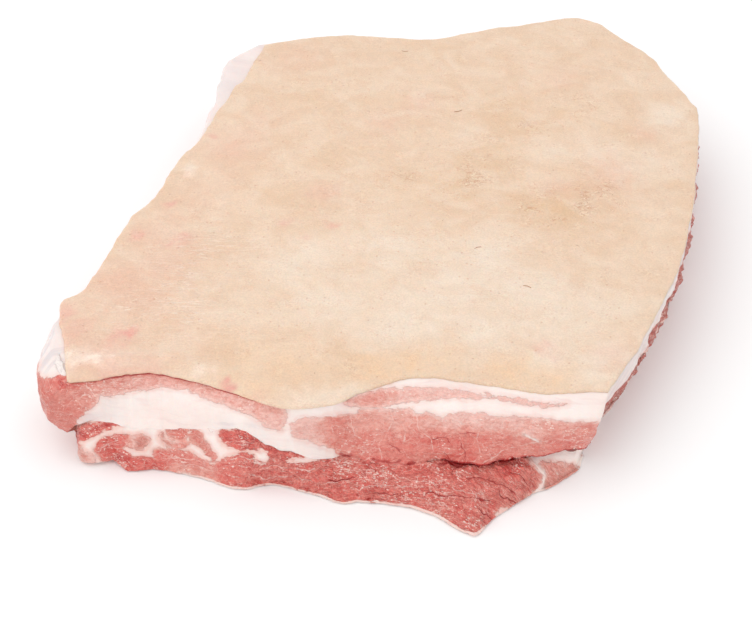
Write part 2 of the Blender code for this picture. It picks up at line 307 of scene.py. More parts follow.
# Painted highlight: bright glossy spots where the light catches the skin.
PAINTED_HIGHLIGHTS = [(-16.5, -12.95, 0.8, 1.1), (-15.6, -13.05, 0.7, 1.2), (-14.9, -13.3, 0.6, 0.8),
    (-17.2, -12.9, 0.6, 0.9), (-4.6, -16, 0.9, 0.35), (-2.9, -15.8, 0.9, 0.35), (-10.3, -14.2, 0.5, 0.5),
    (-9.5, -14.2, 0.4, 0.5), (-12.1, 2.6, 0.5, 0.6), (8.2, -13.4, 1.2, 0.3)]
# Where fine wrinkles are drawn as painted highlight and shade lines.
WRINKLE_SHADING = [(-13, -6, 3.5, 1), (-9, -4, 3.5, 0.8), (-15, -9.5, 2.5, 1), (-11, -10, 3, 0.7),
    (-11, 2, 3, 0.5), (-4, -2, 4, 0.4), (6, -5, 4, 0.35), (9, 2, 5, 0.25)]


def patches(points, spots):
    total = np.zeros(len(points))
    for x, y, reach, amount in spots:
        total += amount * np.exp(-2.2 * ((points[:, 0] - x) ** 2 + (points[:, 1] - y) ** 2) / reach**2)
    return np.clip(total, 0.0, 1.2)


rind_flat = rind_rows.reshape(-1, 3) * (1.0, 1.0, 0.0)
rind_wander = np.column_stack([lumps(rind_flat, 0.9, 2, shift) for shift in (91.0, 95.0)])
rind_plan = rind_flat[:, :2] + 0.3 * rind_wander
for tint, spots in (("blush", BLUSHES), ("tan", TANS), ("gold", GOLDS), ("pale_and_highlight", PALES_AND_HIGHLIGHTS),
                    ("painted_highlight", PAINTED_HIGHLIGHTS), ("wrinkle_shading", WRINKLE_SHADING)):
    keep_values(rind, **{tint: patches(rind_plan, spots)})


class Wire:
    """What a node gives out, so that values in a material add and multiply as numbers do."""

    def __init__(self, made, output=0):
        self.socket = made.outputs[output]
        self.tree = self.socket.id_data

    def __add__(self, other):
        return calc("ADD", self, other)

    def __sub__(self, other):
        return calc("SUBTRACT", self, other)

    def __rsub__(self, other):
        return calc("SUBTRACT", other, self)

    def __mul__(self, other):
        return calc("MULTIPLY", self, other)

    def __truediv__(self, other):
        return calc("DIVIDE", self, other)

    def __abs__(self):
        return calc("ABSOLUTE", self, 0.0)


def fill(socket, value):
    """Sets a socket to a plain value, or joins it to the wire, or to a node's first output."""
    if isinstance(value, bpy.types.Node):
        value = Wire(value)
    if isinstance(value, Wire):
        value.tree.links.new(value.socket, socket)
    else:
        socket.default_value = value


def node(tree, kind, inputs=(), **settings):
    made = tree.nodes.new(kind)
    for key, value in settings.items():
        setattr(made, key, value)
    for key, value in dict(inputs).items():
        fill(made.inputs[key], value)
    return made


def tree_of(values):
    return next(value.tree for value in values if isinstance(value, Wire))


def calc(operation, *values):
    return Wire(node(tree_of(values), "ShaderNodeMath", enumerate(values), operation=operation))


def attribute(tree, name, output="Fac"):
    return Wire(node(tree, "ShaderNodeAttribute", attribute_name=name), output)


def remap(value, low, high, to_low=0.0, to_high=1.0):
    """A value carried smoothly from one range to another, and held at its ends."""
    return Wire(node(value.tree, "ShaderNodeMapRange", {"Value": value, "From Min": low, "From Max": high,
                                                        "To Min": to_low, "To Max": to_high},
                     interpolation_type="SMOOTHSTEP"))


def mix(factor, first, second, blend="MIX"):
    """The first colour with the second laid over it by a factor."""
    return Wire(node(tree_of((factor, first, second)), "ShaderNodeMix", {0: factor, 6: first, 7: second},
                     data_type="RGBA", blend_type=blend), 2)


def cloud_noise(vector, scale, detail=3.0, roughness=0.55, distortion=0.0, stretch=None, turn=0.0):
    """Noise over a surface, stretched along one axis and turned if asked."""
    if stretch:
        vector = Wire(node(vector.tree, "ShaderNodeMapping",
                           {"Vector": vector, "Rotation": (0.0, 0.0, turn), "Scale": stretch}))
    return Wire(node(vector.tree, "ShaderNodeTexNoise",
                     {"Vector": vector, "Scale": scale, "Detail": detail, "Roughness": roughness,
                      "Distortion": distortion}), "Fac")


def cells(vector, scale, feature="F1"):
    return node(vector.tree, "ShaderNodeTexVoronoi", {"Vector": vector, "Scale": scale}, feature=feature)


def cell_chance(made):
    """A random number from 0 to 1 for each cell."""
    return Wire(node(made.id_data, "ShaderNodeSeparateColor", {"Color": Wire(made, "Color")}))


def new_group(name, given_values, results):
    """An empty shader node group with named sockets, where None is a vector, and its end nodes."""
    group = bpy.data.node_groups.new(name, "ShaderNodeTree")
    for label, value in given_values.items():
        kind = "NodeSocketVector" if value is None else "NodeSocketFloat"
        socket = group.interface.new_socket(label, in_out="INPUT", socket_type=kind)
        if value is not None:
            socket.default_value = value
    for label in results:
        group.interface.new_socket(label, in_out="OUTPUT", socket_type="NodeSocketFloat")
    return group, group.nodes.new("NodeGroupInput"), group.nodes.new("NodeGroupOutput")


def build_mottle_group():
    """Cloudy variation that skin, fat and lean share: broad clouds, and fine ones."""
    group, given, result = new_group(
        "meat_mottle", {"Vector": None, "Broad Scale": 20.0, "Fine Scale": 150.0}, ("Broad", "Fine"))
    broad = cloud_noise(Wire(given, "Vector"), Wire(given, "Broad Scale"))
    fine = cloud_noise(Wire(given, "Vector"), Wire(given, "Fine Scale"), 4.0, 0.6)
    fill(result.inputs["Broad"], remap(broad, 0.3, 0.7))
    fill(result.inputs["Fine"], remap(fine, 0.3, 0.7))
    return group


mottle_group = build_mottle_group()


def mottle(vector, broad_scale, fine_scale):
    made = node(vector.tree, "ShaderNodeGroup", {"Vector": vector, "Broad Scale": broad_scale,
                                                 "Fine Scale": fine_scale}, node_tree=mottle_group)
    return Wire(made, "Broad"), Wire(made, "Fine")


def new_material(name):
    """A material, its node tree and shader, and the place on the piece that patterns are read from."""
    material = bpy.data.materials.new(name)
    material.use_nodes = True
    tree = material.node_tree
    return material, tree, tree.nodes["Principled BSDF"], Wire(node(tree, "ShaderNodeTexCoord"), "Object")


def set_shader(shader, finish):
    for name, value in finish.items():
        fill(shader.inputs[name], value)


def brighten(colour, amount):
    """A colour multiplied by one plus an amount."""
    factor = amount + 1.0
    grey = node(colour.tree, "ShaderNodeCombineColor", {0: factor, 1: factor, 2: factor})
    return mix(1.0, colour, grey, "MULTIPLY")


def bump(height, strength, distance):
    return node(height.tree, "ShaderNodeBump", {"Height": height, "Strength": strength, "Distance": distance})


def line_where(field, level, half_width):
    """1 on the thin winding lines where a noise field crosses a level, 0 off them."""
    return remap(abs(field - level), half_width, 0.0)


def build_rind_material():
    """Scalded skin: cream with pink, tan and golden patches, painted highlights, faint scratches, pores, and
    wrinkles drawn as painted highlight and shade lines.
    """
    material, tree, shader, vector = new_material("rind_skin")
    broad, fine = mottle(vector, 14.0, 150.0)
    drift = remap(cloud_noise(vector, 48.0, 7.0, 0.66, 0.8, (0.75, 1.0, 1.0), 0.4), 0.3, 0.7)
    colour = mix(drift, rgb(239, 213, 189), rgb(232, 200, 172))
    # The pale spots are partly painted highlight on the ridge by the front left edge; the brightest tint is a
    # painted highlight.
    for name, field, least, most, tint in (("pale_and_highlight", drift, 0.9, 0.6, rgb(243, 226, 208)),
                                           ("tan", drift, 0.35, 0.9, rgb(227, 191, 156)),
                                           ("gold", fine, 0.5, 0.9, rgb(242, 204, 167)),
                                           ("blush", drift, 0.6, 1.0, rgb(235, 172, 158)),
                                           ("painted_highlight", fine, 0.5, 1.1, rgb(255, 231, 214))):
        colour = mix(attribute(tree, name) * remap(field, 0.0, 1.0, least, most), colour, tint)
    clumps = remap(cloud_noise(vector, 75.0, 4.0), 0.44, 0.6)
    clumps = clumps * remap(attribute(tree, "tan"), 0.1, 0.8, 0.3, 1.0)
    scratches = cloud_noise(vector, 230.0, 4.0, 0.62, 1.8, (0.55, 1.0, 1.0), 0.35)
    scratch = line_where(scratches, 0.5, 0.03) * clumps
    scrape = line_where(scratches, 0.57, 0.03) * clumps
    creases = cloud_noise(vector, 270.0, 4.0, 0.6, 0.9, (0.13, 1.0, 1.0), -0.06)
    wrinkle_shading = attribute(tree, "wrinkle_shading") * remap(broad, 0.2, 0.7, 0.3, 1.0)
    # Each wrinkle is a painted highlight line beside a painted shade line, standing in for its relief.
    wrinkle_highlight = line_where(creases, 0.53, 0.028) * wrinkle_shading
    wrinkle_shade = line_where(creases, 0.475, 0.03) * wrinkle_shading
    pores = cells(vector, 420.0)
    pore = remap(Wire(pores, "Distance"), 0.34, 0.1) * remap(cell_chance(pores), 0.8, 1.0)
    for mark, strength, tint in ((scratch, 1.0, rgb(210, 158, 128)), (scrape, 0.7, rgb(250, 232, 208)),
                                 (wrinkle_highlight, 0.8, rgb(252, 231, 214)), (wrinkle_shade, 0.4, rgb(222, 178, 154)),
                                 (pore, 0.4, rgb(206, 150, 122))):
        colour = mix(mark * strength, colour, tint)
    tone_shade_glint_speckle = remap(cloud_noise(vector, 1000.0, 2.0, 0.6), 0.3, 0.7, -0.05, 0.05)
    height = fine * 0.5 + drift * 0.4 + wrinkle_highlight * 0.5 - (scratch * 0.4 + pore)
    set_shader(shader, {"Base Color": brighten(colour, tone_shade_glint_speckle + remap(fine, 0.0, 1.0, -0.02, 0.02)),
                        "Normal": bump(height, 0.5, 0.0004), "Roughness": remap(fine, 0.0, 1.0, 0.42, 0.58),
                        "Specular IOR Level": 0.35, "Subsurface Weight": 0.2,
                        "Subsurface Radius": (1.0, 0.5, 0.3), "Subsurface Scale": 0.003})
    return material


rind.data.materials.append(build_rind_material())
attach(rind, "root")
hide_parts("pork_belly")

# ----------------------------------------------------------------------------------------------
# Hair stubs. A few bristles that the scalding and scraping left in the skin, lying flat along it,
# and many short cut-off ends, spread over it at random.
# ----------------------------------------------------------------------------------------------
STUB_COUNT, STUB_SEED = 130, 4
STUB_THICKNESS = 0.055      # radius as a share of the stub's length
# Where the bigger ones lie: x, y, length in millimetres, and the way they point in degrees.
HAIRS = [(4.08, 8.73, 5, 200), (4.72, -4.34, 4.2, 20), (7.25, -7.62, 4.5, -25), (0.87, 15.48, 4, 170),
    (2.82, -1.97, 1.6, 80), (6.01, -2.42, 1.5, 30), (12.84, 0.5, 1.6, 60), (15.02, 5.43, 1.5, 0),
    (17.93, 4.53, 1.5, 90), (10.15, 9.04, 1.5, 150), (13.71, 9.04, 1.4, 10), (10.32, -4.09, 2.2, -30),
    (3.43, -11.57, 1.5, 45), (1.39, -10.49, 1.4, 0), (-4.18, -14.18, 1.6, 90), (-8.55, 14.56, 2, 20)]


def build_hair_tree(finish):
    """Puts one bent, tapered stub on each point, by the point's own length and turn."""
    tree = bpy.data.node_groups.new("hair_stubs", "GeometryNodeTree")
    for label, way, kind in (("Spots", "INPUT", "Geometry"), ("Thickness", "INPUT", "Float"),
                             ("Stubs", "OUTPUT", "Geometry")):
        tree.interface.new_socket(label, in_out=way, socket_type="NodeSocket" + kind)
    given, result = tree.nodes.new("NodeGroupInput"), tree.nodes.new("NodeGroupOutput")
    bend = node(tree, "GeometryNodeCurveQuadraticBezier",
                {"Resolution": 5, "Start": (-0.5, 0.0, 0.0), "Middle": (0.0, 0.25, 0.06),
                 "End": (0.5, 0.0, 0.0)})
    share = node(tree, "GeometryNodeSplineParameter")
    thinner = node(tree, "ShaderNodeMapRange", {"Value": share, "To Min": 1.0, "To Max": 0.3})
    taper = node(tree, "GeometryNodeSetCurveRadius", {"Curve": bend, "Radius": thinner})
    outline = node(tree, "GeometryNodeCurvePrimitiveCircle",
                   {"Resolution": 4, "Radius": Wire(given, "Thickness")})
    tube = node(tree, "GeometryNodeCurveToMesh",
                {"Curve": taper, "Profile Curve": outline, "Fill Caps": True})
    length, turn = (Wire(node(tree, "GeometryNodeInputNamedAttribute", {"Name": name}, data_type="FLOAT"),
                         "Attribute") for name in ("length", "turn"))
    facing = node(tree, "ShaderNodeCombineXYZ", {"Z": turn})
    placed = node(tree, "GeometryNodeInstanceOnPoints", {"Points": Wire(given, "Spots"), "Instance": tube,
                                                         "Rotation": facing, "Scale": length})
    real = node(tree, "GeometryNodeRealizeInstances", {"Geometry": placed})
    painted = node(tree, "GeometryNodeSetMaterial", {"Geometry": real, "Material": finish})
    fill(result.inputs["Stubs"], painted)
    return tree


def spread_stubs(count, seed):
    """Short stubs at random over the skin, as x, y, length and direction."""
    chance = np.random.default_rng(seed)
    spots = []
    for _ in range(count):
        x, y = chance.uniform(-17.0, 19.0), chance.uniform(-15.0, 18.0)
        spots.append((x, y, chance.uniform(0.4, 1.1), chance.uniform(-60.0, 60.0)))
    return spots


def realized(name, tree, spots, inputs):
    """Runs a node tree over points with lengths and turns, and keeps its result as a plain mesh."""
    holder = make_piece(name + "_spots", [spot[:3] for spot in spots], [])
    keep_values(holder, length=[spot[3] for spot in spots], turn=[spot[4] for spot in spots])
    step = holder.modifiers.new("spread", "NODES")
    step.node_group = tree
    for item in tree.interface.items_tree:
        if item.name in inputs:
            step[item.identifier] = inputs[item.name]
    found = bpy.data.meshes.new_from_object(holder.evaluated_get(bpy.context.evaluated_depsgraph_get()))
    bpy.data.objects.remove(holder)
    piece = bpy.data.objects.new(name, found)
    bpy.context.scene.collection.objects.link(piece)
    return piece


hair_finish, _, hair_shader, _ = new_material("hair_brown")
set_shader(hair_shader, {"Base Color": rgb(184, 138, 110), "Roughness": 0.6})
skin_surface = BVHTree.FromPolygons([tuple(v.co) for v in rind.data.vertices],
                                    [tuple(f.vertices) for f in rind.data.polygons])
hair_spots = []
for x, y, length, turn in HAIRS + spread_stubs(STUB_COUNT, STUB_SEED):
    hit, facing, _, _ = skin_surface.ray_cast(Vector((x, y, 9.0)) * CM, Vector((0.0, 0.0, -1.0)))
    if hit and facing.z > 0.8:
        hair_spots.append((x, y, hit.z / CM - 0.003, 0.001 * length, math.radians(turn)))
hairs = realized("hairs", build_hair_tree(hair_finish), hair_spots, {"Thickness": STUB_THICKNESS})
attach(hairs, "root")
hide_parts("pork_belly")

# ----------------------------------------------------------------------------------------------
# Meat. Everything under the rind, as its cut sides show it: back fat with a pale lean band and the
# main lean muscle above, and below a cleft the coarse red rib layer, which slides out to the front.
# ----------------------------------------------------------------------------------------------
FACE_LEAN = math.radians(43.0)      # the ragged front cut is drawn on a plane that leans back
FACE_AIM = (-1.02, -9.56, 5.2)      # the point of the slab that the drawing is centred on
FACE_EYE = 86.3                     # distance from there to the eye that sees the drawing straight on
FACE_SCALE = 82.9                   # distance from the eye at which the drawing has its true size
FACE_FOOT = 11.74                   # height of the point aimed at above the foot of the drawing
SEAM = {
    "front": [(-17, 1.4), (-16.9, 1.65), (-16.6, 2.2), (-15.6, 2.78), (-14.3, 2.67), (-13, 2.65),
        (-10.3, 2.95), (-8.7, 3.35), (-7.9, 3.55), (-7, 3.2), (-6.3, 2.9), (-5.2, 2.47), (-4, 1.99),
        (-2.9, 1.75), (3, 1.75), (5.4, 1.7), (6.5, 1.8), (8.6, 1.8), (10.9, 1.75)],
    "right": [(-15.4, 1.75), (18.2, 1.8)],
    "back": 1.8,
    "left": [(-14.6, 1.4), (-9, 1.5), (-7, 1.8), (16.45, 1.8)]}
# How far the upper layers stand out of the skin's edge, by the share of the way from rind to seam.
UPPER_SPREADS = {
    0: {
        "front": [(-17, 0.1), (-16.6, -0.05), (-16, -0.25), (-12, -0.3), (-8, -0.28), (-6, -0.2),
            (-4, -0.1), (-2.5, 0), (-1, 0.04), (2, 0.05), (10.9, 0.04)],
        "right": 0.03,
        "back": [(-8.4, 0.25), (-6, 0.03), (14.5, 0.03)],
        "left": [(-14.6, 0.2), (-13.8, 0.5), (-12.3, 0.6), (-10.8, 0.35), (-9.6, 0), (-8.6, -0.1),
            (0, -0.1), (7, 0.1), (9, 0.35), (10.1, 0.5), (11.1, 0.85), (11.9, 1), (12.3, 1.3), (14.2, 1.5),
            (14.9, 1.35), (15.7, 0.9), (16.45, 0.1)]},
    0.07: {
        "front": [(-17, 0.3), (-16.6, 0.1), (-16, -0.1), (-12, -0.15), (-8, -0.2), (-6, -0.13), (-4, -0.03),
            (-2.6, 0), (-1.7, 0.25), (-0.8, 0.5), (0.2, 0.75), (1.2, 0.9), (4, 0.8), (7.8, 0.6),
            (10.3, 0.6), (10.9, 0.45)],
        "right": [(-15.4, -0.1), (-12, 0), (5, 0), (10, -0.05), (18.2, -0.05)],
        "back": [(-8.4, 0.4), (-6, 0.05), (14.5, 0)],
        "left": [(-14.6, 0.5), (-13.8, 1), (-12.3, 1.05), (-10.8, 0.6), (-9.6, 0.05), (-8.6, -0.05), (0, 0),
            (4.5, 0.15), (7, 0.3), (9, 0.6), (10.1, 0.7), (11.1, 1.05), (11.9, 1.25), (12.3, 1.65),
            (14.2, 1.9), (14.9, 1.7), (15.7, 1.3), (16.45, 0.3)]},
    0.22: {
        "front": [(-17, 0.4), (-16, 0.15), (-13, 0.25), (-9, 0.15), (-7, 0.1), (-5, 0.08), (-3.5, 0.08),
            (-2.6, 0.1), (-1.7, 0.55), (-0.8, 1.05), (0.2, 1.5), (1.2, 1.8), (4, 1.55), (5.3, 1.4),
            (7.8, 1.15), (9.1, 1.2), (10.3, 1.2), (10.9, 0.9)],
        "right": [(-15.4, -0.3), (-12, -0.05), (-6, 0.02), (5, 0.05), (10, 0), (18.2, 0)],
        "back": [(-8.4, 0.5), (-6, 0.15), (14.5, 0.05)],
        "left": [(-14.6, 0.95), (-13.8, 1.6), (-12.3, 1.55), (-10.8, 0.9), (-9.6, 0.3), (-7.5, 0), (0, 0),
            (4.5, 0.1), (7, 0.3), (9, 0.65), (10.1, 0.75), (11.1, 1.15), (11.9, 1.35), (12.3, 1.75),
            (14.2, 2), (14.9, 1.75), (15.7, 1.35), (16.45, 0.4)]},
    0.6: {
        "front": [(-17, 0.6), (-16, 0.45), (-13, 0.8), (-10, 0.65), (-8, 0.5), (-6, 0.4), (-4, 0.38),
            (-2.6, 0.35), (-1.7, 1.1), (-0.8, 1.7), (0.2, 2.15), (1.2, 2.45), (4, 2.2), (5.4, 1.9),
            (7.9, 1.4), (9.2, 1.3), (10.3, 1.3), (10.9, 1)],
        "right": [(-15.4, -0.65), (-14.5, -0.5), (-12, -0.2), (-6, -0.05), (5, 0.1), (10, 0.1),
            (18.2, 0.1)],
        "back": [(-8.4, 0.5), (-6, 0.25), (14.5, 0.1)],
        "left": [(-14.6, 1.18), (-13.4, 1.64), (-11.8, 1.68), (-10.5, 1.35), (-9.4, 1), (-8.6, 0.8),
            (-7, 0.1), (0, 0), (7, 0.1), (9, 0.5), (11.1, 1), (12.2, 1.8), (14.2, 1.9), (15.7, 1),
            (16.45, 0.4)]},
    1: {
        "front": [(-17, 0.3), (-16.8, 0.25), (-16.2, 0.35), (-15.6, 0.5), (-14.3, 1.1), (-13, 1.5),
            (-10.3, 1), (-8.7, 0.75), (-7.85, 0.7), (-7, 0.65), (-6.3, 0.7), (-5.2, 0.6), (-4, 0.75),
            (-2.9, 0.6), (-1.75, 1.55), (-0.55, 2.45), (0.75, 2.9), (1.8, 2.8), (2.8, 2.65), (3.6, 2.7),
            (4.4, 2.6), (5.4, 2.15), (6.5, 1.75), (7.5, 1.45), (8.6, 1.15), (10, 1.05), (10.9, 0.8)],
        "right": [(-15.4, -1.05), (-14.5, -0.8), (-12, -0.4), (-6, -0.15), (0, 0.1), (5, 0.2), (10, 0.15),
            (18.2, 0.15)],
        "back": [(-8.4, 0.4), (-6, 0.3), (14.5, 0.1)],
        "left": [(-14.6, 0.45), (-13.2, 0.88), (-11.8, 1.12), (-10.5, 1.1), (-9.4, 0.8), (-8.6, 0.6),
            (-7, 0), (0, 0), (7, 0.1), (9, 0.4), (12, 1.2), (14.2, 1.4), (16.45, 0.5)]}}
CLEFT_GAP = {
    "front": [(-17, 0.3), (-16.4, 0.2), (-15.8, 0.15), (-4, 0.03), (1.8, 0.02), (3, 0.07), (4.5, 0.14),
        (6, 0.26), (7.2, 0.2), (8.5, 0.25), (10, 0.25), (10.9, 0.15)],
    "right": [(-15.4, 0.15), (18.2, 0.12)],
    "back": 0.12,
    "left": [(-14.6, 0.3), (-9, 0.2), (16.45, 0.12)]}
CLEFT_DEPTH = {
    "front": [(-17, 1.6), (-16.4, 0.7), (-15.9, 0.1), (-15.4, 0), (1.6, 0), (2.8, 0.35), (4, 0.7), (6, 1.1),
        (7.2, 0.8), (10.9, 0.5)],
    "right": [(-15.4, 0.5), (-12, 0.25), (18.2, 0.2)],
    "back": [(-8.4, 0.1), (14.5, 0.15)],
    "left": [(-14.6, 1.6), (-11, 1), (-8.4, 0.4), (-6, 0.15), (16.45, 0.1)]}
LIP_HEIGHT = {
    "front": [(-17, 0.8), (-16.4, 0.75), (-15.6, 0.75), (-15.1, 0.7), (-14.8, 0.45), (-14.4, 0.3),
        (-14.1, 0.18), (10.9, 0.2)],
    "right": [(-15.4, 0.25), (18.2, 0.3)],
    "back": 0.3,
    "left": [(-14.6, 0.8), (-12, 0.4), (16.45, 0.3)]}
FLAP_TOP = {
    "front": [(-17, -0.2), (-16.8, 0.05), (-16.5, 0.35), (-15.6, 0.54), (-14.3, 1.14), (-13, 1.54),
        (-10.3, 1.06), (-8.7, 0.82), (-7.85, 0.78), (-7, 0.72), (-6.3, 0.75), (-5.2, 0.66), (-4, 0.77),
        (-2.9, 0.62), (-1.75, 1.57), (-0.55, 2.47), (0.75, 2.92), (1.8, 2.8), (2.8, 2.57), (3.6, 2.57),
        (4.4, 2.45), (5.4, 2), (6.5, 1.5), (7.5, 1), (8.6, 0.7), (10, 0.7), (10.9, 0.5)],
    "right": [(-15.4, -1.2), (-14.5, -0.9), (-12, -0.5), (-6, -0.3), (0, 0), (5, 0.1), (10, 0.1),
        (18.2, 0.1)],
    "back": [(-8.4, 0.3), (14.5, 0.05)],
    "left": [(-14.6, 0.1), (-12, 0.2), (-9, 0.3), (-7, -0.1), (16.45, 0.4)]}
FLAP_LIP = {
    "front": [(-17, 0.95), (-16.7, 1.15), (-16.4, 1.15), (-15, 1.15), (-14.8, 1.4), (-14.4, 1.8),
        (-14.1, 2.05), (-12.3, 2), (-10.3, 1.9), (-8.7, 1.95), (-7.65, 1.6), (-7.35, 1.3), (-6.3, 0.85),
        (-4.5, 1.35), (-2.4, 2.7), (-1, 3.45), (0.2, 4.2), (1.8, 4.95), (3.3, 5.75), (3.95, 6), (4.3, 5.7),
        (4.85, 4.85), (5.5, 4.15), (6.7, 2.95), (7.35, 2.35), (8.1, 2), (9, 1.4), (9.65, 0.95), (10.3, 0.5),
        (10.9, 0.2)],
    "right": [(-15.4, -1.5), (-12, -1), (-6, -0.8), (0, -0.6), (10, -0.5), (18.2, -0.3)],
    "back": [(-8.4, 0), (14.5, -0.3)],
    "left": [(-14.6, -0.15), (-12, -0.5), (-9, -0.6), (-7, -0.7), (16.45, 0)]}
CROWNING = {
    "front": [(-17, 0.1), (-14, 0.15), (-8, 0.15), (-3, 0.2), (0, 0.25), (4, 0.4), (6.5, 0.4), (8, 0.15),
        (10.9, 0.1)],
    "right": [(-15.4, 0.1), (18.2, 0.15)],
    "back": 0.1,
    "left": 0.1}

# Lean muscles that show on the front, as outlines on the leaning cut face: across, and up from its foot.
UPPER_MUSCLES = {
    "pale band": [(-19.4, 10.9), (-18.6, 10.1), (-18.5, 8.7), (-18.1, 8.4), (-17.7, 8.4), (-17.3, 8.6),
        (-15.3, 9), (-13.2, 9.2), (-10.2, 8.8), (-7.6, 8), (-6.1, 7.05), (-5.75, 6.75), (-5.65, 6.2),
        (-5.7, 5.8), (-6, 5.65), (-6.6, 5.8), (-7.55, 6.45), (-8.8, 6.95), (-9.9, 7.4), (-10.9, 7.75),
        (-11.7, 7.9), (-12.25, 7.95), (-12.8, 7.75), (-13.5, 7.7), (-14.9, 7.45), (-15.3, 7.4),
        (-15.5, 7.05), (-15.85, 6.75), (-16.35, 6.35), (-16.55, 6), (-16.65, 5.5), (-17.4, 4.6),
        (-19.6, 5.2)],
    "thin band": [(-3, 7.2), (-2.3, 7.45), (-1.35, 7.7), (0, 7.9), (1.8, 7.9), (3.55, 7.75), (4.65, 7.6),
        (5.6, 7.45), (6.65, 7.3), (7.75, 7.1), (9, 7.1), (8.7, 7), (7.9, 6.9), (7.2, 7), (6.65, 7.05),
        (5.6, 7.25), (4.65, 7.35), (3.55, 7.35), (2.15, 7.3), (0.7, 7.15), (-0.15, 7), (-0.95, 6.85),
        (-1.85, 6.85)],
    "main lean": [(-5.5, 6), (-4.9, 6.3), (-3.95, 6.35), (-3, 6.5), (-2.15, 6.55), (-1.8, 6.75),
        (-0.9, 6.82), (-0.1, 6.84), (0.8, 6.8), (1.05, 6.55), (1.8, 6.6), (2.3, 6.35), (2.7, 6.5),
        (4.2, 6.55), (5.2, 6.4), (6.05, 6.4), (7, 6.35), (8.05, 6.25), (9.1, 6.1), (10.6, 6.1),
        (12.5, 6.05), (12.5, 3), (6, 3), (2.65, 3), (-1.1, 3.4), (-2.8, 4.3), (-3.3, 4.7), (-3.95, 4.9),
        (-4.6, 5.1), (-5.15, 5.3), (-5.4, 5.5)]}
RIB_MUSCLES = {
    "end strip": [(-17, 5), (-16.7, 5.6), (-15.85, 6.05), (-15.15, 6.15), (-14.6, 6.1), (-14.2, 5.95),
        (-14.75, 5.8), (-15.3, 5.6), (-15.85, 5.35), (-16.4, 5.1)],
    "end muscle": [(-15.5, 4.9), (-15.15, 5.3), (-14.6, 5.45), (-13.85, 5.45), (-13.15, 5.45),
        (-12.8, 5.25), (-12.8, 5.05), (-13.05, 4.7), (-13.4, 4.7), (-13.85, 4.85), (-14.3, 4.62),
        (-14.65, 4.3), (-15.1, 4.12), (-15.45, 4.35), (-15.6, 4.7)],
    "end nub": [(-16.75, 5.1), (-16.5, 4.4), (-16.1, 3.9), (-15.7, 3.95), (-15.6, 4.3), (-15.85, 4.5),
        (-16.2, 4.62), (-16.35, 4.93)],
    "dark end": [(-14.75, 4.42), (-14.3, 4.6), (-13.9, 4.5), (-13.5, 4.3), (-13.1, 4.3), (-12.55, 4.18),
        (-12, 3.8), (-12.2, 3.1), (-13.85, 3.1), (-14.6, 3.6)],
    "spike": [(-10.6, 5.82), (-10.35, 5.75), (-10.03, 5.3), (-9.62, 4.72), (-9.36, 4.41), (-9.41, 4.25),
        (-9.72, 4.46), (-10.14, 4.82), (-10.55, 5.05), (-10.6, 5.4)],
    "cartilage core": [(-11.85, 5.55), (-11.69, 5.81), (-11.33, 5.96), (-10.95, 5.9), (-10.75, 5.65),
        (-10.75, 5.34), (-10.97, 5.15), (-11.38, 5.13), (-11.69, 5.24)],
    "cartilage rim": [(-12.27, 5.44), (-12.18, 5.18), (-11.95, 4.93), (-11.54, 4.8), (-11.07, 4.83),
        (-10.75, 4.95), (-10.8, 5.05), (-11.17, 4.99), (-11.59, 5.01), (-11.9, 5.24), (-12, 5.44),
        (-12.14, 5.55)],
    "under disc": [(-12.55, 4.7), (-11.7, 4.75), (-10.95, 4.65), (-10.35, 4.35), (-9.75, 4.05), (-9, 3.95),
        (-8.8, 3.3), (-10.05, 2.8), (-11.75, 3), (-12.1, 3.9), (-12.5, 4.35)],
    "top muscle": [(-9.1, 5.2), (-9.1, 5.7), (-8.5, 5.7), (-8.3, 5.8), (-7.5, 5.74), (-6.95, 5.42),
        (-6.5, 4.98), (-6, 4.8), (-5.4, 4.7), (-4.75, 4.5), (-4.95, 4.35), (-5.5, 4.15), (-5.9, 4),
        (-6.4, 4.15), (-6.6, 4.6), (-7.1, 4.68), (-7.6, 4.6), (-8.3, 4.74), (-8.8, 4.92)],
    "long muscle": [(-9.1, 4.12), (-8.5, 4.44), (-7.86, 4.55), (-7.4, 4.4), (-7.25, 4.12), (-6.85, 4.02),
        (-6.5, 4.15), (-6.1, 4.25), (-5.5, 4.1), (-4.95, 3.95), (-3.95, 4.15), (-3.3, 4.35), (-2.65, 4.6),
        (-1.25, 4.6), (0.2, 4.6), (2.8, 4.6), (4.35, 4.6), (5.65, 4.6), (6.6, 4.4), (7, 4.05), (7.4, 3.65),
        (7.65, 3.2), (7.4, 2.65), (7, 2.3), (6.45, 1.8), (5.8, 1.45), (5.1, 1.1), (4.7, 0.5), (4.25, -0.4),
        (2.3, 0.3), (0.2, 0.8), (-2.9, 1.1), (-4.95, 1.8), (-6.95, 2.2), (-8.6, 2), (-9.9, 2.8),
        (-9.85, 3.75)],
    "triangle": [(7.35, 4), (7.9, 4.05), (8.3, 4), (9.6, 3.6), (9.4, 2.6), (7.75, 1.6), (7.2, 1.9),
        (7.7, 2.6), (7.85, 3.2), (7.7, 3.7)]}
# White seams that part the muscles: half width, and the points of their line.
UPPER_SEAMS = [(0.06, [(6.65, 5.45), (7, 5.32), (7.4, 5.1)])]
RIB_SEAMS = [(0.08, [(-7.5, 4.62), (-7.05, 4.66), (-6.75, 4.58), (-6.65, 4.3), (-6.8, 4.1)]), (0.05,
        [(6.85, 4.25), (7.3, 3.95)]), (0.1, [(7.3, 3.95), (7.55, 3.65), (7.7, 3.2), (7.55, 2.7)]), (0.1,
        [(7.55, 2.7), (7.05, 2.3), (6.5, 1.8), (5.85, 1.5), (5.25, 1.35)]), (0.06, [(5.35, 1.48),
            (5.8, 1.66)])]
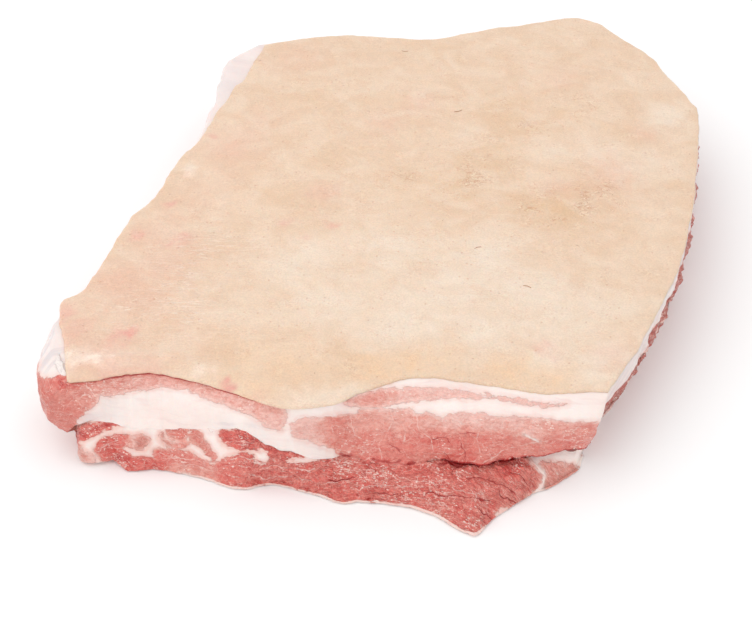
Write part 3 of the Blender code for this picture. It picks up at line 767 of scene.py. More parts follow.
# Thin white threads in the lean, and the creases and cracks that gape between its bundles, whose dark red is
# painted shade; a few short crease marks above the top muscle are dark flecks in the fat.
UPPER_THREADS = [[(-15.94, 8.05), (-15.84, 7.77), (-15.63, 7.57), (-15.49, 7.46)], [(-14.83, 8.4),
        (-14.66, 8.22), (-14.52, 8.05)], [(-14.32, 8.33), (-14.04, 8.47)], [(-16.28, 7.36), (-16, 7.5),
        (-15.77, 7.4)], [(-16.56, 8.12), (-16.46, 7.98)], [(-13.42, 8.26), (-13.07, 8.4)], [(4.6, 4.1),
        (5.2, 4.4), (5.9, 4.7), (6.85, 4.9), (7.7, 5.1), (8.35, 5.2), (9.4, 5.15), (10.4, 5.15)],
    [(-2.25, 6.4), (-2.2, 5.7), (-1.85, 5.2)], [(-0.3, 6.8), (-0.15, 6.2), (-0.35, 5.6)], [(0.2, 6.2),
        (0.5, 5.6), (0.4, 5.2)], [(-0.8, 5.25), (-0.85, 4.7), (-0.7, 4.15)], [(0.75, 6.8), (1.05, 6.5),
        (1.25, 5.6), (1.8, 5.2), (2, 4.7)], [(2.3, 6.6), (2.45, 6.2)], [(4.3, 5.5), (4.25, 4.95),
        (4.4, 4.5), (4.15, 4.15)], [(5.95, 6.35), (5.85, 5.95)]]
RIB_THREADS = [[(-8.9, 5), (-8.4, 5.12), (-7.7, 5.1), (-7.2, 4.95)], [(-8.6, 4.2), (-8, 4.25),
        (-7.5, 4.15)], [(-6.8, 3.7), (-5.9, 3.75), (-4.9, 3.6), (-4, 3.7)], [(-7.6, 3.3), (-6.7, 3.15),
        (-5.8, 3.3), (-5, 3.2)], [(-15.3, 4.7), (-14.9, 4.9), (-14.5, 5.2)], [(-14.2, 5.3), (-13.9, 5),
        (-13.95, 4.85)], [(-12.2, 4.4), (-11.45, 4.25), (-10.65, 4.2), (-9.95, 4)], [(-11.7, 4),
        (-10.9, 3.85), (-10.15, 3.75), (-9.4, 3.5)], [(-9, 4.75), (-8.5, 4.95), (-7.8, 4.95)], [(-9, 3.75),
        (-8.2, 3.8), (-7.5, 3.75)], [(-5.2, 3.3), (-4.4, 3), (-3.5, 2.95), (-2.6, 3.1)], [(-2.9, 3.75),
        (-2.2, 3.6), (-1.2, 3.65)], [(-2.2, 2.6), (-1, 2.8), (0.4, 2.75)], [(0.1, 3.3), (1.2, 3.05),
        (2.6, 3.1)], [(2.9, 2.85), (3.2, 2.6), (3.9, 2.45)]]
# Painted shadow: short dark dashes along the cleft between the upper layers and the flap.
CLEFT_SHADOW_DASHES = [[(-2.8, 4.44), (-2.6, 4.4), (-2.35, 4.38)], [(-1.2, 4.14), (-0.9, 4.08), (-0.5, 4.04),
        (-0.1, 4.02), (0.22, 4.08)], [(0.65, 3.96), (1, 4.04)], [(2.3, 3.98), (2.76, 4.06), (3.1, 3.97),
        (3.54, 3.87)]]
UPPER_CREASES = [[(1.95, 5.2), (2.3, 5.3), (2.6, 5.25), (2.8, 5.05)], [(2.55, 4.5), (2.75, 4.15)],
    [(3.4, 4.95), (3.6, 4.4), (3.7, 4.1)], [(3.3, 5.55), (4.1, 5.5)], [(-0.2, 4.9), (0.25, 4.55)]]
RIB_CREASES = [[(-1.1, 2.34), (-0.3, 2.36), (0.1, 2.44)], [(1.5, 2.36), (1.83, 2.47), (2.19, 2.31),
        (2.66, 2.28), (3.33, 2.26), (3.85, 2.21), (4.37, 2.13), (5, 2.08)], [(-3.4, 3.1), (-2.75, 3.1),
        (-2.2, 3.3)], [(2.95, 3.35), (3, 3.7), (3.35, 3.85)], [(3.65, 3.25), (4.7, 3.2), (5.35, 2.9),
        (5.9, 2.65), (6.2, 2.3)], [(5.4, 2.5), (5.8, 2.15), (6.3, 1.95)], [(6.1, 3.5), (6.5, 3.3),
        (6.85, 2.9)], [(4.3, 1.55), (4.75, 1.3), (4.95, 1.15)], [(-8.9, 5.75), (-8.65, 5.8), (-8.5, 5.72)],
    [(-8.05, 5.86), (-7.85, 5.82)], [(-7.6, 5.8), (-7.4, 5.72)], [(-9.55, 5.98), (-9.45, 5.82)],
    [(4.25, 1.2), (4.75, 0.85)], [(-1.45, 2.1), (-0.9, 1.9)], [(-6.3, 3), (-5.6, 2.75), (-4.9, 2.75)]]
GRISTLE_CENTRE = (-11.45, 5.3)
GRISTLE_HALF = (0.86, 0.66)
# How red the lean is, 0 pale pink to 1 deep red: (across, up, reach, redness) on the leaning face.
REDNESS = [(-18.8, 7.2, 1.5, 0.48), (-17.6, 6.6, 1.2, 0.45), (-16.5, 7.6, 1.2, 0.32), (-15, 8, 1.2, 0.22),
    (-12.5, 8.2, 1.5, 0.2), (-9.5, 7.8, 1.5, 0.16), (-7.5, 7, 1.2, 0.1), (-6.2, 6.2, 0.8, 0.06),
    (-2.2, 7.2, 0.7, 0.1), (-1, 7.4, 0.8, 0.22), (0.5, 7.6, 0.8, 0.12), (3, 7.6, 1.5, 0.06),
    (6.5, 7.2, 1.5, 0.04), (8.5, 7, 1, 0.02), (-4.9, 5.8, 0.7, 0.02), (-4.3, 5.6, 0.7, 0.1),
    (-3.7, 5.6, 0.6, 0.22), (-3.2, 5.7, 0.6, 0.38), (-2.7, 5.2, 0.6, 0.38), (-1.5, 6.3, 0.9, 0.2),
    (-1, 5, 0.9, 0.45), (0.8, 6.2, 0.9, 0.18), (1, 4.8, 1, 0.46), (2.9, 6.25, 0.9, 0.08), (3, 5, 1, 0.52),
    (3.2, 4.3, 0.7, 0.6), (5, 6.15, 0.9, 0.06), (5, 5, 0.9, 0.45), (7.2, 6.05, 0.9, 0.12),
    (7, 4.9, 0.7, 0.4), (8.8, 5.8, 0.9, 0.3), (8.8, 4.8, 0.8, 0.52), (10.2, 5.6, 0.9, 0.4),
    (10, 4.8, 0.6, 0.5), (-15.6, 5.8, 0.8, 0.85), (-14.4, 4.9, 0.8, 0.75), (-13.2, 5, 0.6, 0.25),
    (-16.1, 4.3, 0.5, 0.15), (-13.6, 5.1, 0.35, 0), (-14.2, 4.4, 0.4, 1), (-13.2, 3.7, 0.9, 0.8),
    (-11.25, 5.5, 0.4, 0.42), (-11.8, 4.95, 0.4, 0.22), (-10.1, 5, 0.5, 0.42), (-11.3, 4.45, 0.6, 0.55),
    (-10.4, 4.2, 0.6, 0.5), (-11.2, 3.5, 0.6, 0.24), (-9.9, 3.3, 0.6, 0.3), (-8.2, 5.3, 0.8, 0.85),
    (-6.6, 4.9, 0.6, 0.72), (-5.4, 4.4, 0.5, 0.78), (-8.3, 3.4, 0.9, 0.6), (-6, 3.2, 0.9, 0.6),
    (-3.8, 3.2, 0.9, 0.62), (-1.5, 2.8, 0.9, 0.6), (-1, 3.8, 0.6, 0.68), (0.8, 2.8, 0.9, 0.6),
    (0.8, 3.5, 0.6, 0.66), (2.2, 2, 0.8, 0.52), (3, 3.3, 0.8, 0.57), (4.2, 1.6, 0.8, 0.56),
    (4.8, 2.9, 0.8, 0.54), (6, 3.75, 0.6, 0.82), (6.6, 3, 0.7, 0.54), (7.1, 3.3, 0.4, 0.5),
    (6.2, 2.2, 0.6, 0.48), (8.2, 3.2, 0.7, 0.3), (9, 3.6, 0.5, 0.25)]
# Where small white flecks of fat and painted wet glints crowd: (across, up, reach, amount) on the leaning
# face.
FLECKS_AND_GLINTS = [(-14.8, 7.9, 2.5, 0.5), (-10.1, 7.4, 2, 0.4), (-7.5, 6.7, 1.2, 0.35), (-17.6, 6.9, 1.2, 0.06),
    (-15.6, 5.7, 0.8, 0.7), (-14.7, 5, 0.8, 0.4), (-14, 4.1, 0.7, 0.8), (-12.9, 3.8, 0.7, 0.2),
    (-11.25, 5.55, 0.45, 1.2), (-11.9, 4.9, 0.4, 0.2), (-14.9, 5, 0.6, 0.8), (-11, 3.9, 1.2, 0.6),
    (-8.2, 5.4, 0.8, 0.3), (-8.5, 3.6, 1, 0.35), (-5, 4, 1, 0.5), (-2.6, 3.7, 1.1, 1), (-0.8, 3.2, 1.1, 1),
    (1.8, 3.2, 1.1, 0.8), (3.5, 3.4, 0.9, 0.6), (0.4, 2.2, 1, 0.6), (2.4, 1.9, 1, 0.9), (4.4, 2, 0.9, 0.8),
    (4, 0.8, 0.8, 0.7), (6.4, 4, 0.7, 0.8), (6.2, 3, 0.7, 0.35), (7.5, 6.2, 1, 0.7), (9.4, 5.4, 0.9, 0.6),
    (-2.6, 5.3, 0.9, 0.4), (-1.2, 4.9, 0.8, 0.35), (2.3, 4.9, 0.9, 0.45), (4.8, 4.6, 0.8, 0.25),
    (-1.3, 6.3, 0.9, 0.3), (4.5, 6.2, 1.5, 0.15), (0.5, 7.4, 1.5, 0.4), (4, 7.5, 1.5, 0.4),
    (8.3, 3.3, 0.7, 0.35)]
# Where the fat is greyer and streaked like pearl: (across, up, reach, amount).
PEARLS = [(-18.3, 9.4, 1.2, 0.9), (-17.9, 11.5, 2.5, 0.9), (-16, 6.6, 0.9, 0.6), (-14.8, 6.5, 1, 0.7),
    (-13.8, 4.6, 0.7, 0.6), (-8.8, 5.9, 0.7, 0.8), (-7.4, 5.9, 0.7, 0.5), (-4, 4.8, 0.9, 0.5),
    (-6.9, 5.6, 0.6, 0.4)]
# Where the lean is browner and duller: (across, up, reach, amount).
DULLS = [(-18.9, 7.6, 1.6, 0.5), (-17.6, 6.4, 1.4, 0.3), (-16.2, 7.8, 1.2, 0.22), (-14.3, 8.2, 1.2, 0.16),
    (-13.2, 5, 0.5, 0.55), (-16.3, 4.4, 0.6, 0.35), (-10, 5, 0.7, 0.3), (-11.9, 4.9, 0.4, 0.2),
    (7, 2.9, 0.6, 0.25)]
# Lean layers on the other sides, as lowest and highest height above the table.
SIDE_LAYERS = {
    "right": [(0.25, 1.75), (1.9, 3.35)],
    "back": [(0.3, 1.5), (1.75, 2.8), (3.5, 3.95)],
    "left": [(0.3, 1.6), (1.8, 2.9), (3.55, 4.1)]}
SIDE_PINCH = {"right": 0.09, "back": 0.26, "left": 0.26}     # how far the layers thin and swell
ROWS_UPPER, ROWS_CLEFT, ROWS_FLAP = 52, 5, 48


def on_face(points):
    """Where points lie on the drawing of the cut face: across to the right, and up from its foot."""
    x, y, z = (points - FACE_AIM).T
    up = math.sin(FACE_LEAN), math.cos(FACE_LEAN)
    back = math.cos(FACE_LEAN), -math.sin(FACE_LEAN)
    scale = FACE_SCALE / (FACE_EYE + back[0] * y + back[1] * z)
    return np.column_stack([FACE_AIM[0] + x * scale, FACE_FOOT + (up[0] * y + up[1] * z) * scale])


def line_gap(a, b, face):
    """Squared distance of each place on the face from the straight stretch a to b."""
    edge = b - a
    share = np.clip((face - a) @ edge / (edge @ edge), 0.0, 1.0)
    return ((face - a - share[:, None] * edge) ** 2).sum(axis=1)


def off_line(path, face):
    """Distance of each place on the face from a smooth open line, up to 2; negative on its right."""
    line = smooth_path(path, 6 * len(path))
    near = np.flatnonzero(((face > line.min(axis=0) - 1.0) & (face < line.max(axis=0) + 1.0)).all(axis=1))
    least, turned = np.full(len(near), 4.0), np.ones(len(near))
    for a, b in zip(line, line[1:]):
        gaps = line_gap(a, b, face[near])
        closer = gaps < least
        least[closer] = gaps[closer]
        offset = face[near][closer] - a
        turned[closer] = np.sign((b - a)[0] * offset[:, 1] - (b - a)[1] * offset[:, 0] + 1e-9)
    found = np.full(len(face), 2.0)
    found[near] = np.sqrt(least) * turned
    return found


def off_lines(paths, face):
    """Signed distance from the nearest of many lines, up to half a centimetre."""
    found = np.full(len(face), 0.5)
    for path in paths:
        gaps = off_line(path, face)
        found = np.where(np.abs(gaps) < np.abs(found), gaps, found)
    return found


def inside(outline, face):
    """How far inside a smooth closed outline each place on the face lies; negative outside it."""
    loop = smooth_path(list(outline) + [outline[0]], 8 * len(outline))[:-1]
    near = np.flatnonzero(((face > loop.min(axis=0) - 1.0) & (face < loop.max(axis=0) + 1.0)).all(axis=1))
    x, y = face[near].T
    least, odd = np.full(len(near), 4.0), np.zeros(len(near), bool)
    for a, b in zip(loop, np.roll(loop, -1, axis=0)):
        least = np.minimum(least, line_gap(a, b, face[near]))
        if a[1] != b[1]:
            odd ^= ((a[1] > y) != (b[1] > y)) & (x < (b[0] - a[0]) * (y - a[1]) / (b[1] - a[1]) + a[0])
    found = np.full(len(face), -2.0)
    found[near] = np.where(odd, np.sqrt(least), -np.sqrt(least))
    return found


def weighted(places, face):
    """A value at each place on the face, blended from the values given at nearby places."""
    total, weight = np.zeros(len(face)), np.full(len(face), 1e-6)
    for across, up, reach, value in places:
        pull = np.exp(-((face[:, 0] - across) ** 2 + 1.6 * (face[:, 1] - up) ** 2) / (0.7 * reach) ** 2)
        total += value * pull
        weight += pull
    return total / weight


def gristle_share(face):
    """0 in the middle of the cartilage end, 1 on its rim."""
    dx, dy = (face - GRISTLE_CENTRE).T
    return np.hypot((dx * 0.97 + dy * 0.24) / GRISTLE_HALF[0], (dy * 0.97 - dx * 0.24) / GRISTLE_HALF[1])


def lean_on_face(muscles, seams, face):
    """Signed distance into the lean: inside a muscle's outline, and clear of the white seams."""
    lean = np.full(len(face), -2.0)
    for outline in muscles.values():
        lean = np.maximum(lean, inside(outline, face))
    for half_width, line in seams:
        lean = np.minimum(lean, np.abs(off_line(line, face)) - half_width)
    return lean


def lean_by_height(points, side):
    """Signed distance into the lean layers on the right, back and left sides."""
    bend = 0.2 * lumps(points * (1.0, 1.0, 0.2), 4.5, 1, 3.0) + 0.07 * lumps(points, 0.9, 2, 1.0)
    found = np.full(len(points), -2.0)
    for number, name in enumerate(SIDES[1:], 1):
        own = side == number
        height = points[own, 2] + bend[own]
        if number == 1:
            height = height + 1.2 * ramp(points[own, 1], -9.0, -13.5) * ramp(height, 2.6, 3.2)
            height = height - 0.85 * ramp(points[own, 1], -9.5, -4.0) * ramp(height, 2.2, 3.0)
        for index, (low, high) in enumerate(SIDE_LAYERS[name]):
            pinch = lumps(points[own] * (1.0, 1.0, 0.0), 3.6, 2, 5.0 + 3.0 * index)
            layer = np.minimum(height - low, high - height) + SIDE_PINCH[name] * pinch
            found[own] = np.maximum(found[own], layer)
    return found


def face_weight(points, side):
    """1 where the front's outlines hold, 0 where the layers by height do."""
    left = ramp(points[:, 1], -7.6, -8.8) * (side == 3)
    right = ramp(points[:, 1], -14.6, -15.3) * (side == 1)
    return np.clip((side == 0) + left + right, 0.0, 1.0)


meat_rim = Rim((540, 125, 60, 135), (1.0, 0.8, 1.0, 1.6))
away, round_away = meat_rim.away, meat_rim.round_away
edge = meat_rim.at + knife_wander(meat_rim.at) * round_away
wander = 0.05 * lumps(flat_to_3d(edge), 0.9, 2, 71.0) + 0.03 * lumps(flat_to_3d(edge), 0.35, 1, 73.0)
seam = meat_rim.values(SEAM) + wander * (meat_rim.side == 0)
gap = meat_rim.values(CLEFT_GAP) * np.clip(1.0 + 1.1 * lumps(flat_to_3d(edge), 0.8, 2, 75.0), 0.2, 2.0)
upper_moves = [meat_rim.spread(table) for table in UPPER_SPREADS.values()]
seam_top, seam_foot = seam + 0.3 * gap, seam - 0.7 * gap
flush = ramp(meat_rim.values(UPPER_SPREADS[0]), -0.04, 0.02)     # 1 where the fat meets the rind's face
fat_top = skin_height(edge, 1.0) - RIND_THICKNESS + 0.04 * flush - 0.01
key_params = [-0.8, -0.3]
key_rows = [flat_to_3d(edge - 1.5 * round_away, fat_top - 0.05),
            flat_to_3d(edge - 0.45 * round_away, fat_top - 0.04)]
for share, move in zip(UPPER_SPREADS, upper_moves):
    key_params.append(share)
    key_rows.append(flat_to_3d(edge + move, fat_top + (seam_top - fat_top) * share))
upper_params = np.concatenate([[-0.8, -0.3, -0.12], np.linspace(0.0, 1.0, ROWS_UPPER)])
upper_rows = curve_through(np.array(key_params), np.array(key_rows), upper_params)

flap_top, flap_lip = meat_rim.spread(FLAP_TOP), meat_rim.spread(FLAP_LIP, 3)
lip_height, bulge = meat_rim.values(LIP_HEIGHT, 3), meat_rim.values(CROWNING)
key_params, key_rows = [], []
for share in (0.0, 0.25, 0.5, 0.75, 1.0):
    hump = bulge * math.sin(math.pi * share)
    key_params.append(share)
    key_rows.append(flat_to_3d(edge + flap_top + (flap_lip - flap_top) * share + 0.6 * hump[:, None] * away,
                               seam_foot + (lip_height - seam_foot) * share + 0.8 * hump))
for param, out, share in ((1.03, 0.05, 0.7), (1.06, 0.03, 0.35), (1.1, -0.12, 0.2), (1.2, -0.9, 0.0),
                          (1.3, -2.2, 0.0)):
    key_params.append(param)
    key_rows.append(flat_to_3d(edge + flap_lip + out * round_away, 0.02 + (lip_height - 0.02) * share))
lip_params = [1.015, 1.03, 1.045, 1.06, 1.1, 1.15, 1.2, 1.3]
flap_params = np.concatenate([np.linspace(0.0, 1.0, ROWS_FLAP), lip_params])
flap_rows = curve_through(np.array(key_params), np.array(key_rows), flap_params)

depth = meat_rim.values(CLEFT_DEPTH, 3)
cleft_rows = []
for share in np.linspace(0.0, 1.0, ROWS_CLEFT + 2)[1:-1]:
    inward = (depth * math.sin(math.pi * share) ** 0.7)[:, None] * flat_to_3d(round_away)
    cleft_rows.append(upper_rows[-1] + (flap_rows[0] - upper_rows[-1]) * share - inward)
meat_rows = np.concatenate([upper_rows, cleft_rows, flap_rows])
# A point's param says where it is: 0 to 1 down the upper layers, 1 to 1.1 through the cleft, 1.1 to 2.1
# down the flap, and on under its lip.
meat_param = np.concatenate([upper_params, 1.0 + 0.1 * np.linspace(0.0, 1.0, ROWS_CLEFT + 2)[1:-1],
                             1.1 + flap_params])

levels, stations = meat_rows.shape[:2]
points = meat_rows.reshape(-1, 3)
side = np.tile(meat_rim.side, levels)
param = np.repeat(meat_param, stations)
below_seam = param > 1.05
warp = np.column_stack([lumps(points, 0.45, 2, 11.0), lumps(points, 0.45, 2, 17.0)])
face = on_face(points) + 0.045 * warp
front = face_weight(points, side)
lean_front = np.full(len(points), -2.0)
lean_front[~below_seam] = lean_on_face(UPPER_MUSCLES, UPPER_SEAMS, face[~below_seam])
lean_front[below_seam] = lean_on_face(RIB_MUSCLES, RIB_SEAMS, face[below_seam])
lean_front += 0.035 * below_seam * ramp(face[:, 0], -9.0, -9.6)
ring = gristle_share(face)
lean = front * np.clip(lean_front, -0.8, 0.8) + (1 - front) * np.clip(lean_by_height(points, side), -0.8, 0.8)
wider = ramp(points[:, 0], -3.0, 1.0) * ramp(points[:, 0], 5.0, 4.0)
membrane_edge = 2.088 - 0.022 * wider + 0.013 * lumps(points, 0.8, 2, 77.0)
membrane = ramp(param - membrane_edge, -0.008, 0.012)
membrane *= np.clip(ramp(face[:, 0], -12.0, -10.8) + 1 - front, 0.0, 1.0)
membrane *= 1.0 - front * ramp(face[:, 0], 4.5, 5.0)
lean = lean * (1 - membrane) - 0.14 * membrane
# Painted shade: the right side, away from the light, gets deeper red lean here, and browner lean and greyer
# fat below.
side_redness_and_shade = np.where(side == 1, 0.62 - 0.3 * ramp(points[:, 1], 4.0, 9.0), 0.46)
redness = front * weighted(REDNESS, face) + (1 - front) * side_redness_and_shade
# Painted shadow: deeper red in the cleft right of the flap's middle, where the upper layers overhang it.
redness += front * np.where((param > 0.98) & (param < 1.11) & (face[:, 0] > 2.3), 0.5, 0.0)
# Painted shadow: a dark red line under the rind's overhang at the front left.
redness += 0.5 * front * np.exp(-(param / 0.04) ** 2) * ramp(face[:, 0], -6.0, -8.0)
flecks = front * patches(face, FLECKS_AND_GLINTS) + (1 - front) * 0.3
thread, crease = np.full(len(points), 0.5), np.full(len(points), 0.5)
for own, threads, creases in ((~below_seam, UPPER_THREADS, UPPER_CREASES),
                              (below_seam, RIB_THREADS, RIB_CREASES)):
    own = np.flatnonzero(own & (front > 0.5))
    thread[own] = off_lines(threads, face[own] + 0.03 * warp[own])
    crease[own] = off_lines(creases, face[own] + 0.03 * warp[own])
# Painted shadow of the cleft: short dark dashes along it, drawn in the crease colour.
cleft_shadow_dashes = np.abs(off_lines(CLEFT_SHADOW_DASHES, face)) * 0.45
crease = np.where((cleft_shadow_dashes < np.abs(crease)) & (front > 0.5), cleft_shadow_dashes, crease)
crease = np.where(membrane > 0.2, 0.5, crease)
# Painted shadow: the crease colour fills the cleft right of the flap's middle.
crease = np.where((param > 0.995) & (param < 1.105) & (face[:, 0] > 2.5) & (front > 0.9), 0.0, crease)
# Painted shadow: the crease colour lines the underside of the rind's overhang at the front left.
shade_under_rind = (param > -0.1) * ramp(param, 0.07, 0.03) * (front > 0.9)
shade_under_rind *= ramp(face[:, 0], -16.6, -15.0) * ramp(face[:, 0], -6.2, -7.6)
crease = crease * (1.0 - shade_under_rind)
gape = (0.6 + 0.4 * lumps(points, 0.5, 1, 79.0)) * np.exp(-(crease / 0.055) ** 2) * front * (param > 1.12)
in_lean = ramp(lean, -0.05, 0.12)
coarse = 0.3 + 0.7 * ramp(face[:, 0], -9.4, -6.5) - 0.5 * ramp(face[:, 0], 7.1, 7.5)
coarse = np.where(below_seam, coarse, 0.2)
by_seam = np.abs(off_lines([line for _, line in RIB_SEAMS], face))
coarse = coarse - 0.65 * below_seam * ramp(by_seam, 0.35, 0.15) * ramp(face[:, 0], 4.8, 5.2)
coarse = front * coarse + (1 - front) * 0.8

# Relief: fat is smooth and full, the lean has drawn back and is ridged, the rib layer is coarse and
# cracked, the cartilage end is dished, and the right side is torn into lumps.
relief = 0.045 * lumps(points, 0.8, 2, 21.0) * (0.3 + 0.7 * in_lean) - 0.03 * in_lean
ridges = 0.06 * lumps(points * (0.35, 1.0, 1.3), 0.42, 2, 41.0)
ridges += 0.045 * lumps(points, 0.28, 2, 45.0) + 0.02 * lumps(points, 0.13, 1, 49.0)
torn = 0.24 * lumps(points * (1.0, 1.0, 0.7), 0.9, 3, 33.0) - 0.04
relief += in_lean * coarse * ridges
relief += (side == 1) * ramp(points[:, 2], 4.7, 3.6) * ramp(points[:, 1], -13.5, -9.5) * torn
relief -= np.where(below_seam, 0.09, 0.04) * gape
relief += front * below_seam * (0.06 * np.exp(-((ring - 0.92) / 0.12) ** 2) - 0.05 * ramp(ring, 0.85, 0.5))
beyond = ramp(inside(RIB_MUSCLES["long muscle"], face), -0.05, -0.25) * (points[:, 0] > 5.2) * below_seam
relief -= 0.17 * beyond * front
visible = ramp(param, -0.2, 0.05) * (1 - ramp(param, 2.1, 2.16))
folded = np.exp(-((param - 1.05) / 0.04) ** 2) * np.tile(ramp(depth, 0.0, 0.3), levels)
down = np.gradient(meat_rows, axis=0)
around = np.roll(meat_rows, -1, axis=1) - np.roll(meat_rows, 1, axis=1)
relief = (relief * visible * (1 - folded)).reshape(levels, stations, 1)
meat_rows = meat_rows + relief * unit(np.cross(down, around))
meat_rows[..., 2] = np.maximum(meat_rows[..., 2], 0.02)

closing = [(levels - 1) * stations + np.arange(stations), np.arange(stations)]
inner_wall = [(int(a), int(b), int(c), int(d)) for a, b, c, d in
              zip(closing[0], closing[1], np.roll(closing[1], -1), np.roll(closing[0], -1))]
meat = make_piece("meat", meat_rows.reshape(-1, 3), ring_faces(levels, stations) + inner_wall)
# The right side's greyer fat and browner lean are painted shade; the left side's greyer fat is its own pearly
# colour.
side_pearl = (side == 1) * 0.6 + (side == 3) * 0.7 * ramp(points[:, 1], 5.0, 9.0)
keep_values(meat, lean=10.0 * lean, redness=redness, flecks=flecks, thread=10.0 * thread,
            crease=10.0 * crease, coarse=coarse,
            dull=front * patches(face, DULLS) + (1 - front) * (side == 1) * 0.85,
            pearl=front * patches(face, PEARLS) + (1 - front) * side_pearl)
# Fibres run along the layers: almost level on the front, and slanting down at the flap's right end.
along = np.concatenate([[0.0], np.cumsum(np.linalg.norm(np.diff(edge, axis=0), axis=1))])
corner = np.flatnonzero(meat_rim.side == 1)[0]
turns = along[[corner, np.flatnonzero(meat_rim.side == 2)[0], np.flatnonzero(meat_rim.side == 3)[0], -1]]
along_sides = np.interp(along, turns, (9.6, 9.6 + turns[0] - turns[1], turns[2] - turns[3] - 18.5, -18.5))
flap_slant = 0.12 * face[:, 0] + 0.075 * np.maximum(face[:, 0] - 1.5, 0.0) ** 2
slant = np.where(below_seam, flap_slant, 0.08 * face[:, 0]) + 0.1 * lumps(flat_to_3d(face), 1.3, 2, 81.0)
on_front = side == 0
across_fibres = np.where(on_front, face[:, 1] + slant, points[:, 2]).reshape(levels, stations)
for number, far, start, inner in ((1, meat_rim.from_start, corner, corner - 1),
                                  (3, meat_rim.from_end, -1, 0)):
    own = meat_rim.side == number
    step = across_fibres[:, [inner]] - across_fibres[:, [start]]
    across_fibres[:, own] += step * ramp(far[own], 4.0, 0.0)
along_fibres = np.where(on_front, face[:, 0], np.tile(along_sides, levels))


def keep_grain(piece, places):
    """Stores where each point lies along and across the fibres, for the patterns that follow them."""
    data = piece.data.attributes.new("grain", "FLOAT_VECTOR", "POINT").data
    data.foreach_set("vector", (np.array(places) * CM).ravel())


keep_grain(meat, np.column_stack([along_fibres, across_fibres.ravel(), np.zeros(len(points))]))


def build_flesh_grain_group():
    """Beads of wet muscle, longer along the fibres: a random number for each, and its edge."""
    group, given, result = new_group("flesh_grain", {"Vector": None, "Scale": 900.0}, ("Bead", "Edge"))
    vector = node(group, "ShaderNodeMapping", {"Vector": Wire(given, "Vector"), "Scale": (0.5, 1.0, 1.0)})
    beads = cells(Wire(vector), Wire(given, "Scale"))
    fill(result.inputs["Bead"], cell_chance(beads))
    fill(result.inputs["Edge"], remap(Wire(beads, "Distance"), 0.25, 0.75))
    return group


flesh_grain_group = build_flesh_grain_group()


def flesh_grain(fibre, scale):
    made = node(fibre.tree, "ShaderNodeGroup", {"Vector": fibre, "Scale": scale}, node_tree=flesh_grain_group)
    return Wire(made, "Bead"), Wire(made, "Edge")


